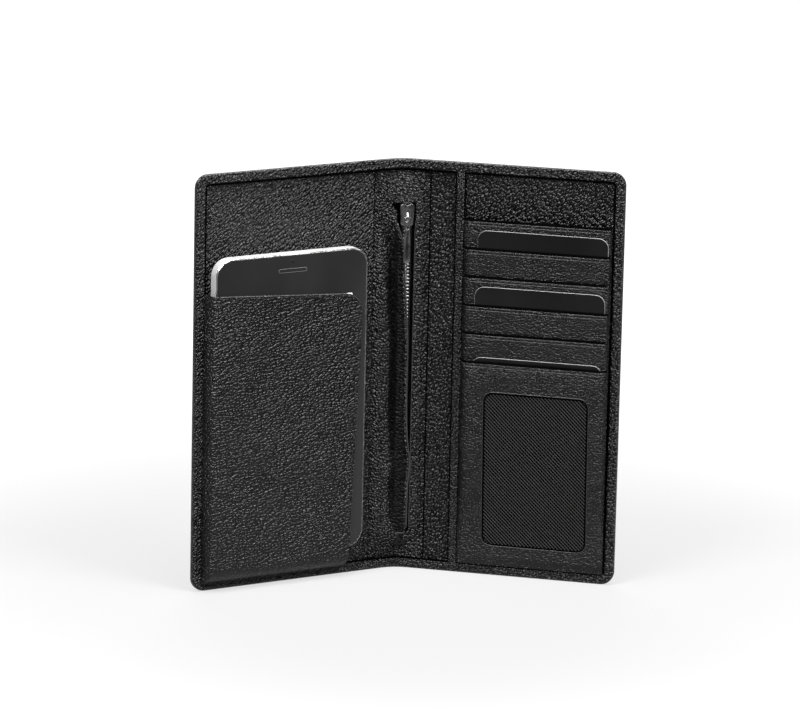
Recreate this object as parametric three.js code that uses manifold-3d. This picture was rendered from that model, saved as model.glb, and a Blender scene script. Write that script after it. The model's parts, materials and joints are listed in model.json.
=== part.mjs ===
// A tall bifold travel document organizer in black pebbled leather, standing open on its bottom edge.
//
// Frame: millimetres, +Z up, origin on the bottom edge in the middle of the spine.
// The inside faces -Y. The left cover runs towards -X and the right cover towards +X.
//
// Each cover has its own flat frame: u runs from its fold line towards its outer edge, n stands out
// of the leather towards the inside of the wallet, and z runs up. Sheets are outlines in (u, z) with
// a thickness along n.

import * as THREE from 'three';
import { mergeVertices } from 'three/addons/utils/BufferGeometryUtils.js';
import Module from 'manifold-3d';

const wasm = await Module();
wasm.setup();

// Overall size and fold
const HEIGHT = 235;
const COVER_WIDTH = 115;
const SPINE_HALF = 12.5;
const COVER_TILT = THREE.MathUtils.degToRad(21.6);
const CORNER_RADIUS = 7.5;
const BORDER = 5.2;
const ARC_STEPS = 8;
const LEFT = -1;
const RIGHT = 1;

// Layers of each cover, from the outer leather inwards
const LAYER_GAP = 0.25;
const LEATHER = 0.8;
const BOARD = 0.5;
const LINING = 0.35;
const INNER_LEATHER = 0.35;
const TURNED_EDGE = 0.6;
const LEATHER_FACE = LEATHER / 2;
const BOARD_BASE = LEATHER_FACE + LAYER_GAP;
const LINING_BASE = BOARD_BASE + BOARD + LAYER_GAP;
const PANEL_BASE = LINING_BASE + LINING + LAYER_GAP;
const BACKING_BASE = PANEL_BASE + INNER_LEATHER + LAYER_GAP;
const INNER_FACE = BACKING_BASE + INNER_LEATHER;
const TURNED_EDGE_BASE = INNER_FACE + LAYER_GAP;

// Where the layers of a cover start and stop
const LEATHER_START = 0.6;
const BORDER_START = 4.6;
const SEAM_INSET = 2;
const LEFT_PANEL_START = 4.3;
const SLEEVE_START = 5.1;
const CARD_PANEL_START = 19.9;
const CARD_STRIP_WIDTH = 4.4;
const SHEET_END = COVER_WIDTH - SEAM_INSET;
const BORDER_INNER = COVER_WIDTH - BORDER;

// Phone pocket and phone on the left cover
const PHONE_START = 12;
const PHONE_WIDTH = 94.6;
const PHONE_HEIGHT = 171.6;
const PHONE_BOTTOM = 17;
const PHONE_RADIUS = 10;
const PHONE_CASE = 5.9;
const PHONE_GLASS = 1;
const PHONE_BASE = TURNED_EDGE_BASE + TURNED_EDGE + 0.3;
const GLASS_BASE = PHONE_BASE + PHONE_CASE + 0.3;
const GLASS_INSET = 1.2;
const POCKET_FRONT = 1;
const POCKET_WALL = 1;
const POCKET_FRONT_BASE = GLASS_BASE + PHONE_GLASS + 0.3;
const POCKET_TOP_OUTER = 168.5;
const POCKET_TOP_INNER = 162.5;
const POCKET_EDGE_TOP = 15.6;
const POCKET_EDGE_BOTTOM = 20.4;
const POCKET_CORNER = 11;
const POCKET_OUTER = PHONE_START + PHONE_WIDTH + 0.4 + POCKET_WALL;
const POCKET_FLOOR = PHONE_BOTTOM - 0.4 - POCKET_WALL;

// Card slots on the right cover, a stack that leans out towards its top
const STACK_LEAN = THREE.MathUtils.degToRad(2.5);
const STACK_BOTTOM = 6;
const SLOT_COUNT = 5;
const SLOT_START = 24.6;
const SLOT_END = BORDER_INNER - 0.3;
const SLOT_LEATHER = 0.5;
const SLOT_DEPTH = 58;
const FIRST_SLOT_TOP = HEIGHT - 32.2;
const SLOT_PITCH = 15.9;
const FIRST_SLOT_BASE = -2.9;
const CARD_THICKNESS = 0.8;
const CARD_CLEARANCE = 0.3;
const CARD_WIDTH = 74;
const CARD_HEIGHT = 54;
const CARD_RADIUS = 5.5;
const CARD_STARTS = [33.2, 32.5, 32];
const CARD_TOPS = [HEIGHT - 36.6, HEIGHT - 68.2, HEIGHT - 108.1];
const WINDOW_START = 39.3;
const WINDOW_WIDTH = 59.8;
const WINDOW_BOTTOM = 18;
const WINDOW_HEIGHT = 89.5;
const WINDOW_RADIUS = 5.4;
const WINDOW_MESH = 0.3;
const MESH_MARGIN = 5;

// Spine, coin pocket and zip
const SPINE_LEATHER_HALF = SPINE_HALF - LEATHER_START;
const SPINE_LINING = 0.3;
const SPINE_LINING_HALF = 11.5;
const BAG_HALF = 11;
const BAG_THICKNESS = 0.6;
const BAG_BOTTOM = 8;
const BAG_TOP = 224;
const TAPE = 0.3;
const TAPE_WIDTH = 6.2;
const TAPE_BOTTOM = 14;
const TAPE_TOP = 216;
const ZIP_X = 3;
const ZIP_PANEL = 0.5;
const SLOT_X = 3.4;
const SLOT_WIDTH = 10;
const SLOT_BOTTOM = 18.7;
const SLOT_TOP = 212.2;
const SPINE_BORDER_HALF = 9.3;
const TOOTH_PITCH = 2;
const TOOTH_WIDTH = 0.8;
const TOOTH_REACH = 0.6;
const TOOTH_ROOT = 1.2;
const RAIL_EDGE = 2.6;
const TEETH_BOTTOM = 22;
const TEETH_COUNT = 94;
const TEETH_DEPTH = 1;
const STOP_WIDTH = 5;
const STOP_HEIGHT = 1.2;
const BAG_BASE = LEATHER_FACE + SPINE_LINING + 2 * LAYER_GAP;
const TAPE_BASE = BAG_BASE + BAG_THICKNESS + LAYER_GAP;
const ZIP_FACE = TAPE_BASE + TAPE + LAYER_GAP;
const SPINE_BORDER_BASE = ZIP_FACE + ZIP_PANEL + LAYER_GAP;

// Zip slider and its puller
const SLIDER_BOTTOM = 198.3;
const SLIDER_HEIGHT = 12;
const SLIDER_TOP_WIDTH = 10;
const SLIDER_TAIL_WIDTH = 6.8;
const SLIDER_PLATE = 1.2;
const SLIDER_BASE = ZIP_FACE + TEETH_DEPTH + 0.35;
const FLANGE = 0.6;
const PIVOT_Z = 202.4;
const CROWN_WIDTH = 1.3;
const CROWN_CENTRE = PIVOT_Z + 1;
const CROWN_LENGTH = 7;
const CROWN_BAR = 1;
const CROWN_HEIGHT = 2.6;
const SLIDER_FACE = SLIDER_BASE + SLIDER_PLATE;
const PULLER_WIDTH = 3.6;
const PULLER_LENGTH = 25.6;
const PULLER_PLATE = 0.8;
const PULLER_EYE_WIDTH = 2;
const PULLER_EYE_LENGTH = 5.6;
const PULLER_BAR = 1.2;
const PIVOT_N = SLIDER_FACE + 0.8;

const materials = {
  leather: new THREE.MeshStandardMaterial({ color: 0x1b1b1c, roughness: 0.55, metalness: 0 }),
  innerLeather: new THREE.MeshStandardMaterial({ color: 0x202021, roughness: 0.5, metalness: 0 }),
  board: new THREE.MeshStandardMaterial({ color: 0x6f675a, roughness: 0.95, metalness: 0 }),
  fabric: new THREE.MeshStandardMaterial({ color: 0x17171a, roughness: 0.9, metalness: 0 }),
  mesh: new THREE.MeshStandardMaterial({ color: 0x141416, roughness: 0.7, metalness: 0 }),
  nickel: new THREE.MeshStandardMaterial({ color: 0xa9abae, roughness: 0.3, metalness: 1 }),
  phoneCase: new THREE.MeshStandardMaterial({ color: 0x55575b, roughness: 0.35, metalness: 0.8 }),
  phoneGlass: new THREE.MeshStandardMaterial({ color: 0x2b2c2f, roughness: 0.1, metalness: 0 }),
  card: new THREE.MeshStandardMaterial({ color: 0x232425, roughness: 0.4, metalness: 0 }),
};

function addPiece(group, name, geometry, material) {
  const piece = new THREE.Mesh(geometry, material.clone());
  piece.name = name;
  group.add(piece);
  return piece;
}

// A sheet: an outline in (x, z) with its back at n = base and the given thickness towards -Y.
function sheet(outline, base, thickness) {
  const geometry = new THREE.ExtrudeGeometry(outline, {
    depth: thickness,
    bevelEnabled: false,
    curveSegments: ARC_STEPS,
  });
  geometry.rotateX(Math.PI / 2);
  geometry.translate(0, -base, 0);
  return geometry;
}

// A rectangle in (u, z) with its own radius at each corner, in the order
// inner bottom, outer bottom, outer top, inner top.
function roundedOutline(u0, u1, z0, z1, radii) {
  const corners = [
    { u: u0, z: z0, toCentreU: 1, toCentreZ: 1, start: Math.PI },
    { u: u1, z: z0, toCentreU: -1, toCentreZ: 1, start: -Math.PI / 2 },
    { u: u1, z: z1, toCentreU: -1, toCentreZ: -1, start: 0 },
    { u: u0, z: z1, toCentreU: 1, toCentreZ: -1, start: Math.PI / 2 },
  ];
  const points = corners.flatMap((corner, i) => {
    const centreU = corner.u + corner.toCentreU * radii[i];
    const centreZ = corner.z + corner.toCentreZ * radii[i];
    const steps = radii[i] > 0 ? ARC_STEPS : 0;
    return Array.from({ length: steps + 1 }, (_, k) => {
      const angle = corner.start + (k / Math.max(steps, 1)) * (Math.PI / 2);
      return new THREE.Vector2(centreU + radii[i] * Math.cos(angle), centreZ + radii[i] * Math.sin(angle));
    });
  });
  return new THREE.Shape(points);
}

function rectangle(u0, u1, z0, z1) {
  return roundedOutline(u0, u1, z0, z1, [0, 0, 0, 0]);
}

function coverOutline(u0, inset) {
  const radius = CORNER_RADIUS - inset;
  return roundedOutline(u0, COVER_WIDTH - inset, inset, HEIGHT - inset, [0, radius, radius, 0]);
}

// The same outline seen from the cover on the given side, where x = side * u.
function onSide(outline, side) {
  const flip = (points) => points.map((point) => new THREE.Vector2(side * point.x, point.y));
  const { shape, holes } = outline.extractPoints(ARC_STEPS);
  const turned = new THREE.Shape(flip(shape));
  turned.holes = holes.map((hole) => new THREE.Path(flip(hole)));
  return turned;
}

function box(x0, x1, n0, n1, z0, z1) {
  const geometry = new THREE.BoxGeometry(x1 - x0, n1 - n0, z1 - z0);
  geometry.translate((x0 + x1) / 2, -(n0 + n1) / 2, (z0 + z1) / 2);
  return geometry;
}

function toSolid(geometry) {
  const plain = geometry.clone();
  plain.deleteAttribute('normal');
  plain.deleteAttribute('uv');
  const merged = mergeVertices(plain, 1e-4);
  return new wasm.Manifold(new wasm.Mesh({
    numProp: 3,
    vertProperties: new Float32Array(merged.attributes.position.array),
    triVerts: new Uint32Array(merged.index.array),
  }));
}

function toGeometry(solid) {
  const mesh = solid.getMesh();
  const geometry = new THREE.BufferGeometry();
  geometry.setAttribute('position', new THREE.BufferAttribute(new Float32Array(mesh.vertProperties), 3));
  geometry.setIndex(new THREE.BufferAttribute(new Uint32Array(mesh.triVerts), 1));
  geometry.computeVertexNormals();
  return geometry;
}

function joined(first, ...others) {
  return toGeometry(others.reduce((solid, part) => solid.add(toSolid(part)), toSolid(first)));
}

// ---- Layers that both covers have ----

// The outer leather folded over the inside along the top, outer and bottom edges.
function turnedEdgeOutline() {
  const shape = new THREE.Shape();
  shape.moveTo(BORDER_START, 0);
  shape.lineTo(COVER_WIDTH - CORNER_RADIUS, 0);
  shape.absarc(COVER_WIDTH - CORNER_RADIUS, CORNER_RADIUS, CORNER_RADIUS, -Math.PI / 2, 0);
  shape.lineTo(COVER_WIDTH, HEIGHT - CORNER_RADIUS);
  shape.absarc(COVER_WIDTH - CORNER_RADIUS, HEIGHT - CORNER_RADIUS, CORNER_RADIUS, 0, Math.PI / 2);
  shape.lineTo(BORDER_START, HEIGHT);
  shape.lineTo(BORDER_START, HEIGHT - BORDER);
  shape.lineTo(BORDER_INNER, HEIGHT - BORDER);
  shape.lineTo(BORDER_INNER, BORDER);
  shape.lineTo(BORDER_START, BORDER);
  return shape;
}

function addCoverLayers(cover, side, prefix, liningStart) {
  const layer = (name, outline, base, thickness, material) => {
    addPiece(cover, `${prefix}_${name}`, sheet(onSide(outline, side), base, thickness), material);
  };
  layer('cover_leather', coverOutline(LEATHER_START, 0), -LEATHER / 2, LEATHER, materials.leather);
  layer('stiffener_board', coverOutline(liningStart, SEAM_INSET + 1), BOARD_BASE, BOARD, materials.board);
  layer('lining', coverOutline(liningStart, SEAM_INSET), LINING_BASE, LINING, materials.fabric);
  layer('turned_edge', turnedEdgeOutline(), TURNED_EDGE_BASE, TURNED_EDGE, materials.leather);
}

// ---- Left cover: document sleeve, phone pocket and phone ----

function pocketFrontOutline() {
  const topSlope = (POCKET_TOP_OUTER - POCKET_TOP_INNER) / (POCKET_OUTER - POCKET_EDGE_TOP);
  const cornerTop = POCKET_TOP_INNER + topSlope * POCKET_CORNER;
  const shape = new THREE.Shape();
  shape.moveTo(POCKET_EDGE_BOTTOM, POCKET_FLOOR);
  shape.lineTo(POCKET_OUTER, POCKET_FLOOR);
  shape.lineTo(POCKET_OUTER, POCKET_TOP_OUTER);
  shape.lineTo(POCKET_EDGE_TOP + POCKET_CORNER, cornerTop);
  const cornerEnd = POCKET_TOP_INNER - POCKET_CORNER;
  shape.quadraticCurveTo(POCKET_EDGE_TOP, POCKET_TOP_INNER, POCKET_EDGE_TOP, cornerEnd);
  shape.lineTo(POCKET_EDGE_BOTTOM, POCKET_FLOOR);
  return shape;
}

function addLeftCover(cover) {
  addCoverLayers(cover, LEFT, 'left', LEFT_PANEL_START);
  const innerPanel = coverOutline(LEFT_PANEL_START, SEAM_INSET);
  addPiece(cover, 'left_document_sleeve',
    sheet(onSide(innerPanel, LEFT), PANEL_BASE, INNER_FACE - PANEL_BASE),
    materials.innerLeather);

  addPiece(cover, 'phone_pocket_front',
    sheet(onSide(pocketFrontOutline(), LEFT), POCKET_FRONT_BASE, POCKET_FRONT),
    materials.innerLeather);
  const wallBase = INNER_FACE + LAYER_GAP;
  const wallTop = POCKET_FRONT_BASE - LAYER_GAP;
  const wallInner = POCKET_OUTER - POCKET_WALL;
  addPiece(cover, 'phone_pocket_side_wall',
    box(-POCKET_OUTER, -wallInner, wallBase, wallTop, POCKET_FLOOR, POCKET_TOP_OUTER - 1),
    materials.innerLeather);
  const floorTop = POCKET_FLOOR + POCKET_WALL;
  addPiece(cover, 'phone_pocket_floor',
    box(-wallInner + LAYER_GAP, -POCKET_EDGE_BOTTOM, wallBase, wallTop, POCKET_FLOOR, floorTop),
    materials.innerLeather);

  const phoneEnd = PHONE_START + PHONE_WIDTH;
  const phoneTop = PHONE_BOTTOM + PHONE_HEIGHT;
  const caseOutline = roundedOutline(PHONE_START, phoneEnd, PHONE_BOTTOM, phoneTop,
    Array(4).fill(PHONE_RADIUS));
  const glassOutline = roundedOutline(PHONE_START + GLASS_INSET, phoneEnd - GLASS_INSET,
    PHONE_BOTTOM + GLASS_INSET, phoneTop - GLASS_INSET, Array(4).fill(PHONE_RADIUS - GLASS_INSET));
  addPiece(cover, 'phone_case',
    sheet(onSide(caseOutline, LEFT), PHONE_BASE, PHONE_CASE), materials.phoneCase);
  addPiece(cover, 'phone_glass',
    sheet(onSide(glassOutline, LEFT), GLASS_BASE, PHONE_GLASS), materials.phoneGlass);
}

// ---- Right cover: document sleeve, card slots, ID window and cards ----

function addRightCover(cover) {
  addCoverLayers(cover, RIGHT, 'right', SLEEVE_START);
  addPiece(cover, 'right_document_sleeve',
    sheet(coverOutline(SLEEVE_START, SEAM_INSET), PANEL_BASE, INNER_LEATHER), materials.innerLeather);
  addPiece(cover, 'card_panel_backing',
    sheet(coverOutline(CARD_PANEL_START, SEAM_INSET), BACKING_BASE, INNER_LEATHER), materials.innerLeather);
  const strip = rectangle(CARD_PANEL_START, CARD_PANEL_START + CARD_STRIP_WIDTH,
    BORDER + LAYER_GAP, HEIGHT - BORDER - LAYER_GAP);
  addPiece(cover, 'card_panel_edge_strip',
    sheet(strip, TURNED_EDGE_BASE, TURNED_EDGE), materials.innerLeather);

  const stack = new THREE.Group();
  stack.position.z = STACK_BOTTOM;
  stack.rotation.x = STACK_LEAN;
  cover.add(stack);

  // Every second slot holds a card behind it, so the spaces between slot leathers alternate.
  let base = FIRST_SLOT_BASE;
  for (let i = 0; i <= SLOT_COUNT; i += 1) {
    const slotTop = FIRST_SLOT_TOP - STACK_BOTTOM - i * SLOT_PITCH;
    const isWindowPanel = i === SLOT_COUNT;
    if (!isWindowPanel) {
      addPiece(stack, `card_slot_${i + 1}`,
        sheet(rectangle(SLOT_START, SLOT_END, slotTop - SLOT_DEPTH, slotTop), base, SLOT_LEATHER),
        materials.innerLeather);
    } else {
      addWindowPanel(stack, slotTop, base);
    }
    base += SLOT_LEATHER;
    if (i % 2 === 0) {
      const number = i / 2;
      if (number < CARD_STARTS.length) {
        addCard(stack, number, base + CARD_CLEARANCE);
      }
      base += CARD_THICKNESS + 2 * CARD_CLEARANCE;
    } else {
      base += LAYER_GAP;
    }
  }
}

function addCard(stack, number, base) {
  const start = CARD_STARTS[number];
  const top = CARD_TOPS[number] - STACK_BOTTOM;
  const outline = roundedOutline(start, start + CARD_WIDTH, top - CARD_HEIGHT, top,
    Array(4).fill(CARD_RADIUS));
  addPiece(stack, `card_${number + 1}`, sheet(outline, base, CARD_THICKNESS), materials.card);
}

function addWindowPanel(stack, top, base) {
  const windowEnd = WINDOW_START + WINDOW_WIDTH;
  const bottom = WINDOW_BOTTOM - STACK_BOTTOM;
  const meshOutline = rectangle(WINDOW_START - MESH_MARGIN, windowEnd + MESH_MARGIN,
    bottom - MESH_MARGIN, bottom + WINDOW_HEIGHT + MESH_MARGIN);
  addPiece(stack, 'id_window_mesh', sheet(meshOutline, base, WINDOW_MESH), materials.mesh);
  const panel = rectangle(SLOT_START, SLOT_END, 0, top);
  panel.holes.push(roundedOutline(WINDOW_START, windowEnd, bottom, bottom + WINDOW_HEIGHT,
    Array(4).fill(WINDOW_RADIUS)));
  addPiece(stack, 'id_window_panel', sheet(panel, base + WINDOW_MESH + LAYER_GAP, SLOT_LEATHER),
    materials.innerLeather);
}

// ---- Spine: leather, lining, coin pocket and zip ----

// One row of teeth with the cord they are clamped on. Rows on the two sides are half a pitch apart.
function teethOutline(side) {
  const offset = side === LEFT ? 0 : TOOTH_PITCH / 2;
  const railTop = TEETH_BOTTOM + TEETH_COUNT * TOOTH_PITCH;
  const x = (distance) => ZIP_X + side * distance;
  const points = [
    new THREE.Vector2(x(RAIL_EDGE), TEETH_BOTTOM),
    new THREE.Vector2(x(TOOTH_ROOT), TEETH_BOTTOM),
  ];
  for (let i = 0; i < TEETH_COUNT - 1; i += 1) {
    const low = TEETH_BOTTOM + offset + 0.2 + i * TOOTH_PITCH;
    points.push(new THREE.Vector2(x(TOOTH_ROOT), low));
    points.push(new THREE.Vector2(x(-TOOTH_REACH), low));
    points.push(new THREE.Vector2(x(-TOOTH_REACH), low + TOOTH_WIDTH));
    points.push(new THREE.Vector2(x(TOOTH_ROOT), low + TOOTH_WIDTH));
  }
  points.push(new THREE.Vector2(x(TOOTH_ROOT), railTop));
  points.push(new THREE.Vector2(x(RAIL_EDGE), railTop));
  return new THREE.Shape(points);
}

function addZip(spine) {
  for (const [side, name] of [[LEFT, 'left'], [RIGHT, 'right']]) {
    const inner = ZIP_X + side * LAYER_GAP;
    const outer = ZIP_X + side * TAPE_WIDTH;
    const tape = rectangle(Math.min(inner, outer), Math.max(inner, outer), TAPE_BOTTOM, TAPE_TOP);
    addPiece(spine, `zip_tape_${name}`, sheet(tape, TAPE_BASE, TAPE), materials.fabric);
    addPiece(spine, `zip_teeth_${name}`, sheet(teethOutline(side), ZIP_FACE, TEETH_DEPTH), materials.nickel);
  }
  const stopLeft = ZIP_X - STOP_WIDTH / 2;
  const stopRight = ZIP_X + STOP_WIDTH / 2;
  const stopFace = ZIP_FACE + TEETH_DEPTH;
  const bottomStopTop = TEETH_BOTTOM - LAYER_GAP;
  const topStopBottom = SLIDER_BOTTOM + SLIDER_HEIGHT + 0.3;
  addPiece(spine, 'zip_bottom_stop',
    box(stopLeft, stopRight, ZIP_FACE, stopFace, bottomStopTop - STOP_HEIGHT, bottomStopTop),
    materials.nickel);
  addPiece(spine, 'zip_top_stop',
    box(stopLeft, stopRight, ZIP_FACE, stopFace, topStopBottom, topStopBottom + STOP_HEIGHT),
    materials.nickel);
}

function addSpine(spine) {
  addPiece(spine, 'spine_cover_leather',
    box(-SPINE_LEATHER_HALF, SPINE_LEATHER_HALF, -LEATHER / 2, LEATHER_FACE, 0, HEIGHT), materials.leather);
  const liningBase = LEATHER_FACE + LAYER_GAP;
  addPiece(spine, 'spine_lining',
    box(-SPINE_LINING_HALF, SPINE_LINING_HALF, liningBase, liningBase + SPINE_LINING,
      SEAM_INSET, HEIGHT - SEAM_INSET), materials.fabric);
  addPiece(spine, 'coin_pocket_bag',
    box(-BAG_HALF, BAG_HALF, BAG_BASE, BAG_BASE + BAG_THICKNESS, BAG_BOTTOM, BAG_TOP), materials.fabric);

  const panel = rectangle(-SPINE_LEATHER_HALF, SPINE_LEATHER_HALF, SEAM_INSET, HEIGHT - SEAM_INSET);
  panel.holes.push(roundedOutline(SLOT_X - SLOT_WIDTH / 2, SLOT_X + SLOT_WIDTH / 2,
    SLOT_BOTTOM, SLOT_TOP, Array(4).fill(SLOT_WIDTH / 5)));
  addPiece(spine, 'zip_panel', sheet(panel, ZIP_FACE, ZIP_PANEL), materials.innerLeather);

  const borderFace = SPINE_BORDER_BASE + ZIP_PANEL;
  addPiece(spine, 'spine_turned_edge_bottom',
    box(-SPINE_BORDER_HALF, SPINE_BORDER_HALF, SPINE_BORDER_BASE, borderFace, 0, BORDER), materials.leather);
  addPiece(spine, 'spine_turned_edge_top',
    box(-SPINE_BORDER_HALF, SPINE_BORDER_HALF, SPINE_BORDER_BASE, borderFace, HEIGHT - BORDER, HEIGHT),
    materials.leather);
  addZip(spine);
}

// The slider: a tapered plate over the teeth, a flange down each side and a crown that holds the puller.
function addSlider(spine) {
  const shield = new THREE.Shape();
  shield.moveTo(ZIP_X - SLIDER_TAIL_WIDTH / 2, SLIDER_BOTTOM);
  shield.lineTo(ZIP_X + SLIDER_TAIL_WIDTH / 2, SLIDER_BOTTOM);
  shield.lineTo(ZIP_X + SLIDER_TOP_WIDTH / 2, SLIDER_BOTTOM + 0.6 * SLIDER_HEIGHT);
  shield.lineTo(ZIP_X + SLIDER_TOP_WIDTH / 2, SLIDER_BOTTOM + SLIDER_HEIGHT);
  shield.lineTo(ZIP_X - SLIDER_TOP_WIDTH / 2, SLIDER_BOTTOM + SLIDER_HEIGHT);
  shield.lineTo(ZIP_X - SLIDER_TOP_WIDTH / 2, SLIDER_BOTTOM + 0.6 * SLIDER_HEIGHT);
  const plate = sheet(shield, SLIDER_BASE, SLIDER_PLATE);

  const flanges = [LEFT, RIGHT].map((side) => {
    const outer = ZIP_X + side * (SLIDER_TAIL_WIDTH / 2);
    const inner = outer - side * FLANGE;
    return box(Math.min(inner, outer), Math.max(inner, outer), ZIP_FACE, SLIDER_BASE + SLIDER_PLATE / 2,
      SLIDER_BOTTOM + 0.5, SLIDER_BOTTOM + SLIDER_HEIGHT - 0.5);
  });

  const crownBottom = CROWN_CENTRE - CROWN_LENGTH / 2;
  const crownTop = CROWN_CENTRE + CROWN_LENGTH / 2;
  const left = ZIP_X - CROWN_WIDTH / 2;
  const right = ZIP_X + CROWN_WIDTH / 2;
  const crownFace = SLIDER_FACE + CROWN_HEIGHT;
  const rootDepth = SLIDER_FACE - SLIDER_PLATE / 2;
  const crown = [
    box(left, right, rootDepth, crownFace, crownBottom, crownBottom + CROWN_BAR),
    box(left, right, rootDepth, crownFace, crownTop - CROWN_BAR, crownTop),
    box(left, right, crownFace - CROWN_BAR, crownFace, crownBottom, crownTop),
  ];
  addPiece(spine, 'zip_slider', joined(plate, ...flanges, ...crown), materials.nickel);
}

function addPuller(spine) {
  const top = PIVOT_Z + PULLER_BAR / 2;
  const outline = roundedOutline(ZIP_X - PULLER_WIDTH / 2, ZIP_X + PULLER_WIDTH / 2,
    top - PULLER_LENGTH, top, [1.2, 1.2, 0.5, 0.5]);
  const eyeTop = top - PULLER_BAR;
  outline.holes.push(rectangle(ZIP_X - PULLER_EYE_WIDTH / 2, ZIP_X + PULLER_EYE_WIDTH / 2,
    eyeTop - PULLER_EYE_LENGTH, eyeTop));
  addPiece(spine, 'zip_puller', sheet(outline, PIVOT_N - PULLER_PLATE / 2, PULLER_PLATE), materials.nickel);
}

// ---- Assembly ----

const organizer = new THREE.Group();

const spine = new THREE.Group();
addSpine(spine);
addSlider(spine);
addPuller(spine);
organizer.add(spine);

const leftCover = new THREE.Group();
leftCover.position.x = -SPINE_HALF;
leftCover.rotation.z = COVER_TILT;
addLeftCover(leftCover);
organizer.add(leftCover);

const rightCover = new THREE.Group();
rightCover.position.x = SPINE_HALF;
rightCover.rotation.z = -COVER_TILT;
addRightCover(rightCover);
organizer.add(rightCover);

export default organizer;
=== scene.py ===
# A tall bifold travel document organizer in black pebbled leather: the visible pieces, their materials,
# a plain studio and the camera. Lengths are in metres.

import json
import math

import bmesh
import bpy
import numpy as np
from mathutils import Matrix, Vector, noise


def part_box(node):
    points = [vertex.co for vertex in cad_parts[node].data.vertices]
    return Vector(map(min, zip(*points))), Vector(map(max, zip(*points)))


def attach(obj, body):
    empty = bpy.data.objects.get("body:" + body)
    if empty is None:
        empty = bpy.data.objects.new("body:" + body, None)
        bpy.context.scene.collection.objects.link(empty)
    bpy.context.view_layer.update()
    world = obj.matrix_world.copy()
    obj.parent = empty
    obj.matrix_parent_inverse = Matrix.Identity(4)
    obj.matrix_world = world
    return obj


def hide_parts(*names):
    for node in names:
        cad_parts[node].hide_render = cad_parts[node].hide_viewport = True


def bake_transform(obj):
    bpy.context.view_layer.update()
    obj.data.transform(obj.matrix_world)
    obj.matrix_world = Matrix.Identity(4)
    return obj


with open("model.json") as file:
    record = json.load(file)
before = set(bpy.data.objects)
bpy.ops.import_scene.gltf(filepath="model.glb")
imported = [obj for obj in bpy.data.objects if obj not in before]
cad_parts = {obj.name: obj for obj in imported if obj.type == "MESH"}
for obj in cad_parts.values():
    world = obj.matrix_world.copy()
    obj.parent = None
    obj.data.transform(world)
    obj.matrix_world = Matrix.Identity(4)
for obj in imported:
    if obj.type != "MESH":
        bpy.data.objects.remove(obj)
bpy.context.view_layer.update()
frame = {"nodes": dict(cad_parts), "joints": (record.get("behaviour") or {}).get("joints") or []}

MM = 0.001
LEFT, RIGHT = -1, 1

# ---- Where things are: the covers' own coordinates, read from the frame ----

JOINTS = {joint["name"]: joint for joint in frame["joints"]}
HINGE = JOINTS["right_cover_fold"]["pos_m"][0]
TILT = math.radians(-JOINTS["right_cover_fold"]["range_deg"][0])


def side_name(side):
    return "left" if side == LEFT else "right"


def cover_points(node, side):
    """The corners of a CAD node on a cover as (u, n, z): u from its fold line, n out of the leather."""
    points = np.array([v.co for v in frame["nodes"][node].data.vertices], float)
    along, depth = side * points[:, 0] - HINGE, points[:, 1]
    u = along * math.cos(TILT) - depth * math.sin(TILT)
    n = -along * math.sin(TILT) - depth * math.cos(TILT)
    return np.stack([u, n, points[:, 2]], axis=1)


def cover_box(node, side):
    """The lowest and highest (u, n, z) of a CAD node on a cover."""
    local = cover_points(node, side)
    return local.min(0), local.max(0)


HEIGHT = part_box("spine_cover_leather")[1].z
COVER_END = cover_box("right_cover_leather", RIGHT)[1][0]
OUTER_FACE = cover_box("right_cover_leather", RIGHT)[0][1]
EDGE_FACE = cover_box("right_turned_edge", RIGHT)[1][1]
INNER_FACE = cover_box("left_document_sleeve", LEFT)[1][1]
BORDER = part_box("spine_turned_edge_bottom")[1].z
CORNER_RADIUS = 7.5 * MM

# The outer leather runs round the spine in one soft arc, which touches both covers' planes. A signed
# distance c along it, from the middle of the spine, names any place on the wallet.
ARC_TANGENT = 9 * MM
ARC_RADIUS = ARC_TANGENT / math.tan(TILT)
ARC_LENGTH = ARC_RADIUS * TILT
ARC_CENTRE_Y = HINGE * math.tan(TILT) - ARC_RADIUS / math.cos(TILT)
FOLD_C = ARC_LENGTH + HINGE / math.cos(TILT) - ARC_TANGENT


def fold(c, n, z):
    """Points in the part's frame, at distance c along the leather, n above its middle and height z."""
    c, n, z = np.broadcast_arrays(np.asarray(c, float), np.asarray(n, float), np.asarray(z, float))
    angle = np.minimum(np.abs(c) / ARC_RADIUS, TILT)
    beyond = np.maximum(np.abs(c) - ARC_LENGTH, 0)
    x = (ARC_RADIUS - n) * np.sin(angle) + beyond * math.cos(TILT)
    y = ARC_CENTRE_Y + (ARC_RADIUS - n) * np.cos(angle) - beyond * math.sin(TILT)
    return np.stack([np.where(c < 0, -x, x), y, z], axis=-1)


def spine_place(x, y):
    """The (c, n) of a point (x, y) of the spine."""
    return np.arctan2(x, y - ARC_CENTRE_Y) * ARC_RADIUS, ARC_RADIUS - np.hypot(x, y - ARC_CENTRE_Y)


def ease(t):
    t = np.clip(t, 0, 1)
    return t * t * (3 - 2 * t)


def dome(t):
    """Rises from 0 to 1 as a quarter circle does."""
    t = np.clip(t, 0, 1)
    return np.sqrt(np.maximum(0, 1 - (1 - t) ** 2))


def ripple(c, z, size, seed):
    """A slow unevenness between -1 and 1, the same on every run."""
    places = zip(np.ravel(c), np.ravel(z))
    values = [noise.noise(Vector((a / size + seed, b / size, seed))) for a, b in places]
    return np.reshape(values, np.shape(c))


# ---- Mesh building ----


def add_object(name, data):
    made = bpy.data.objects.new(name, data)
    bpy.context.scene.collection.objects.link(made)
    return made


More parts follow.
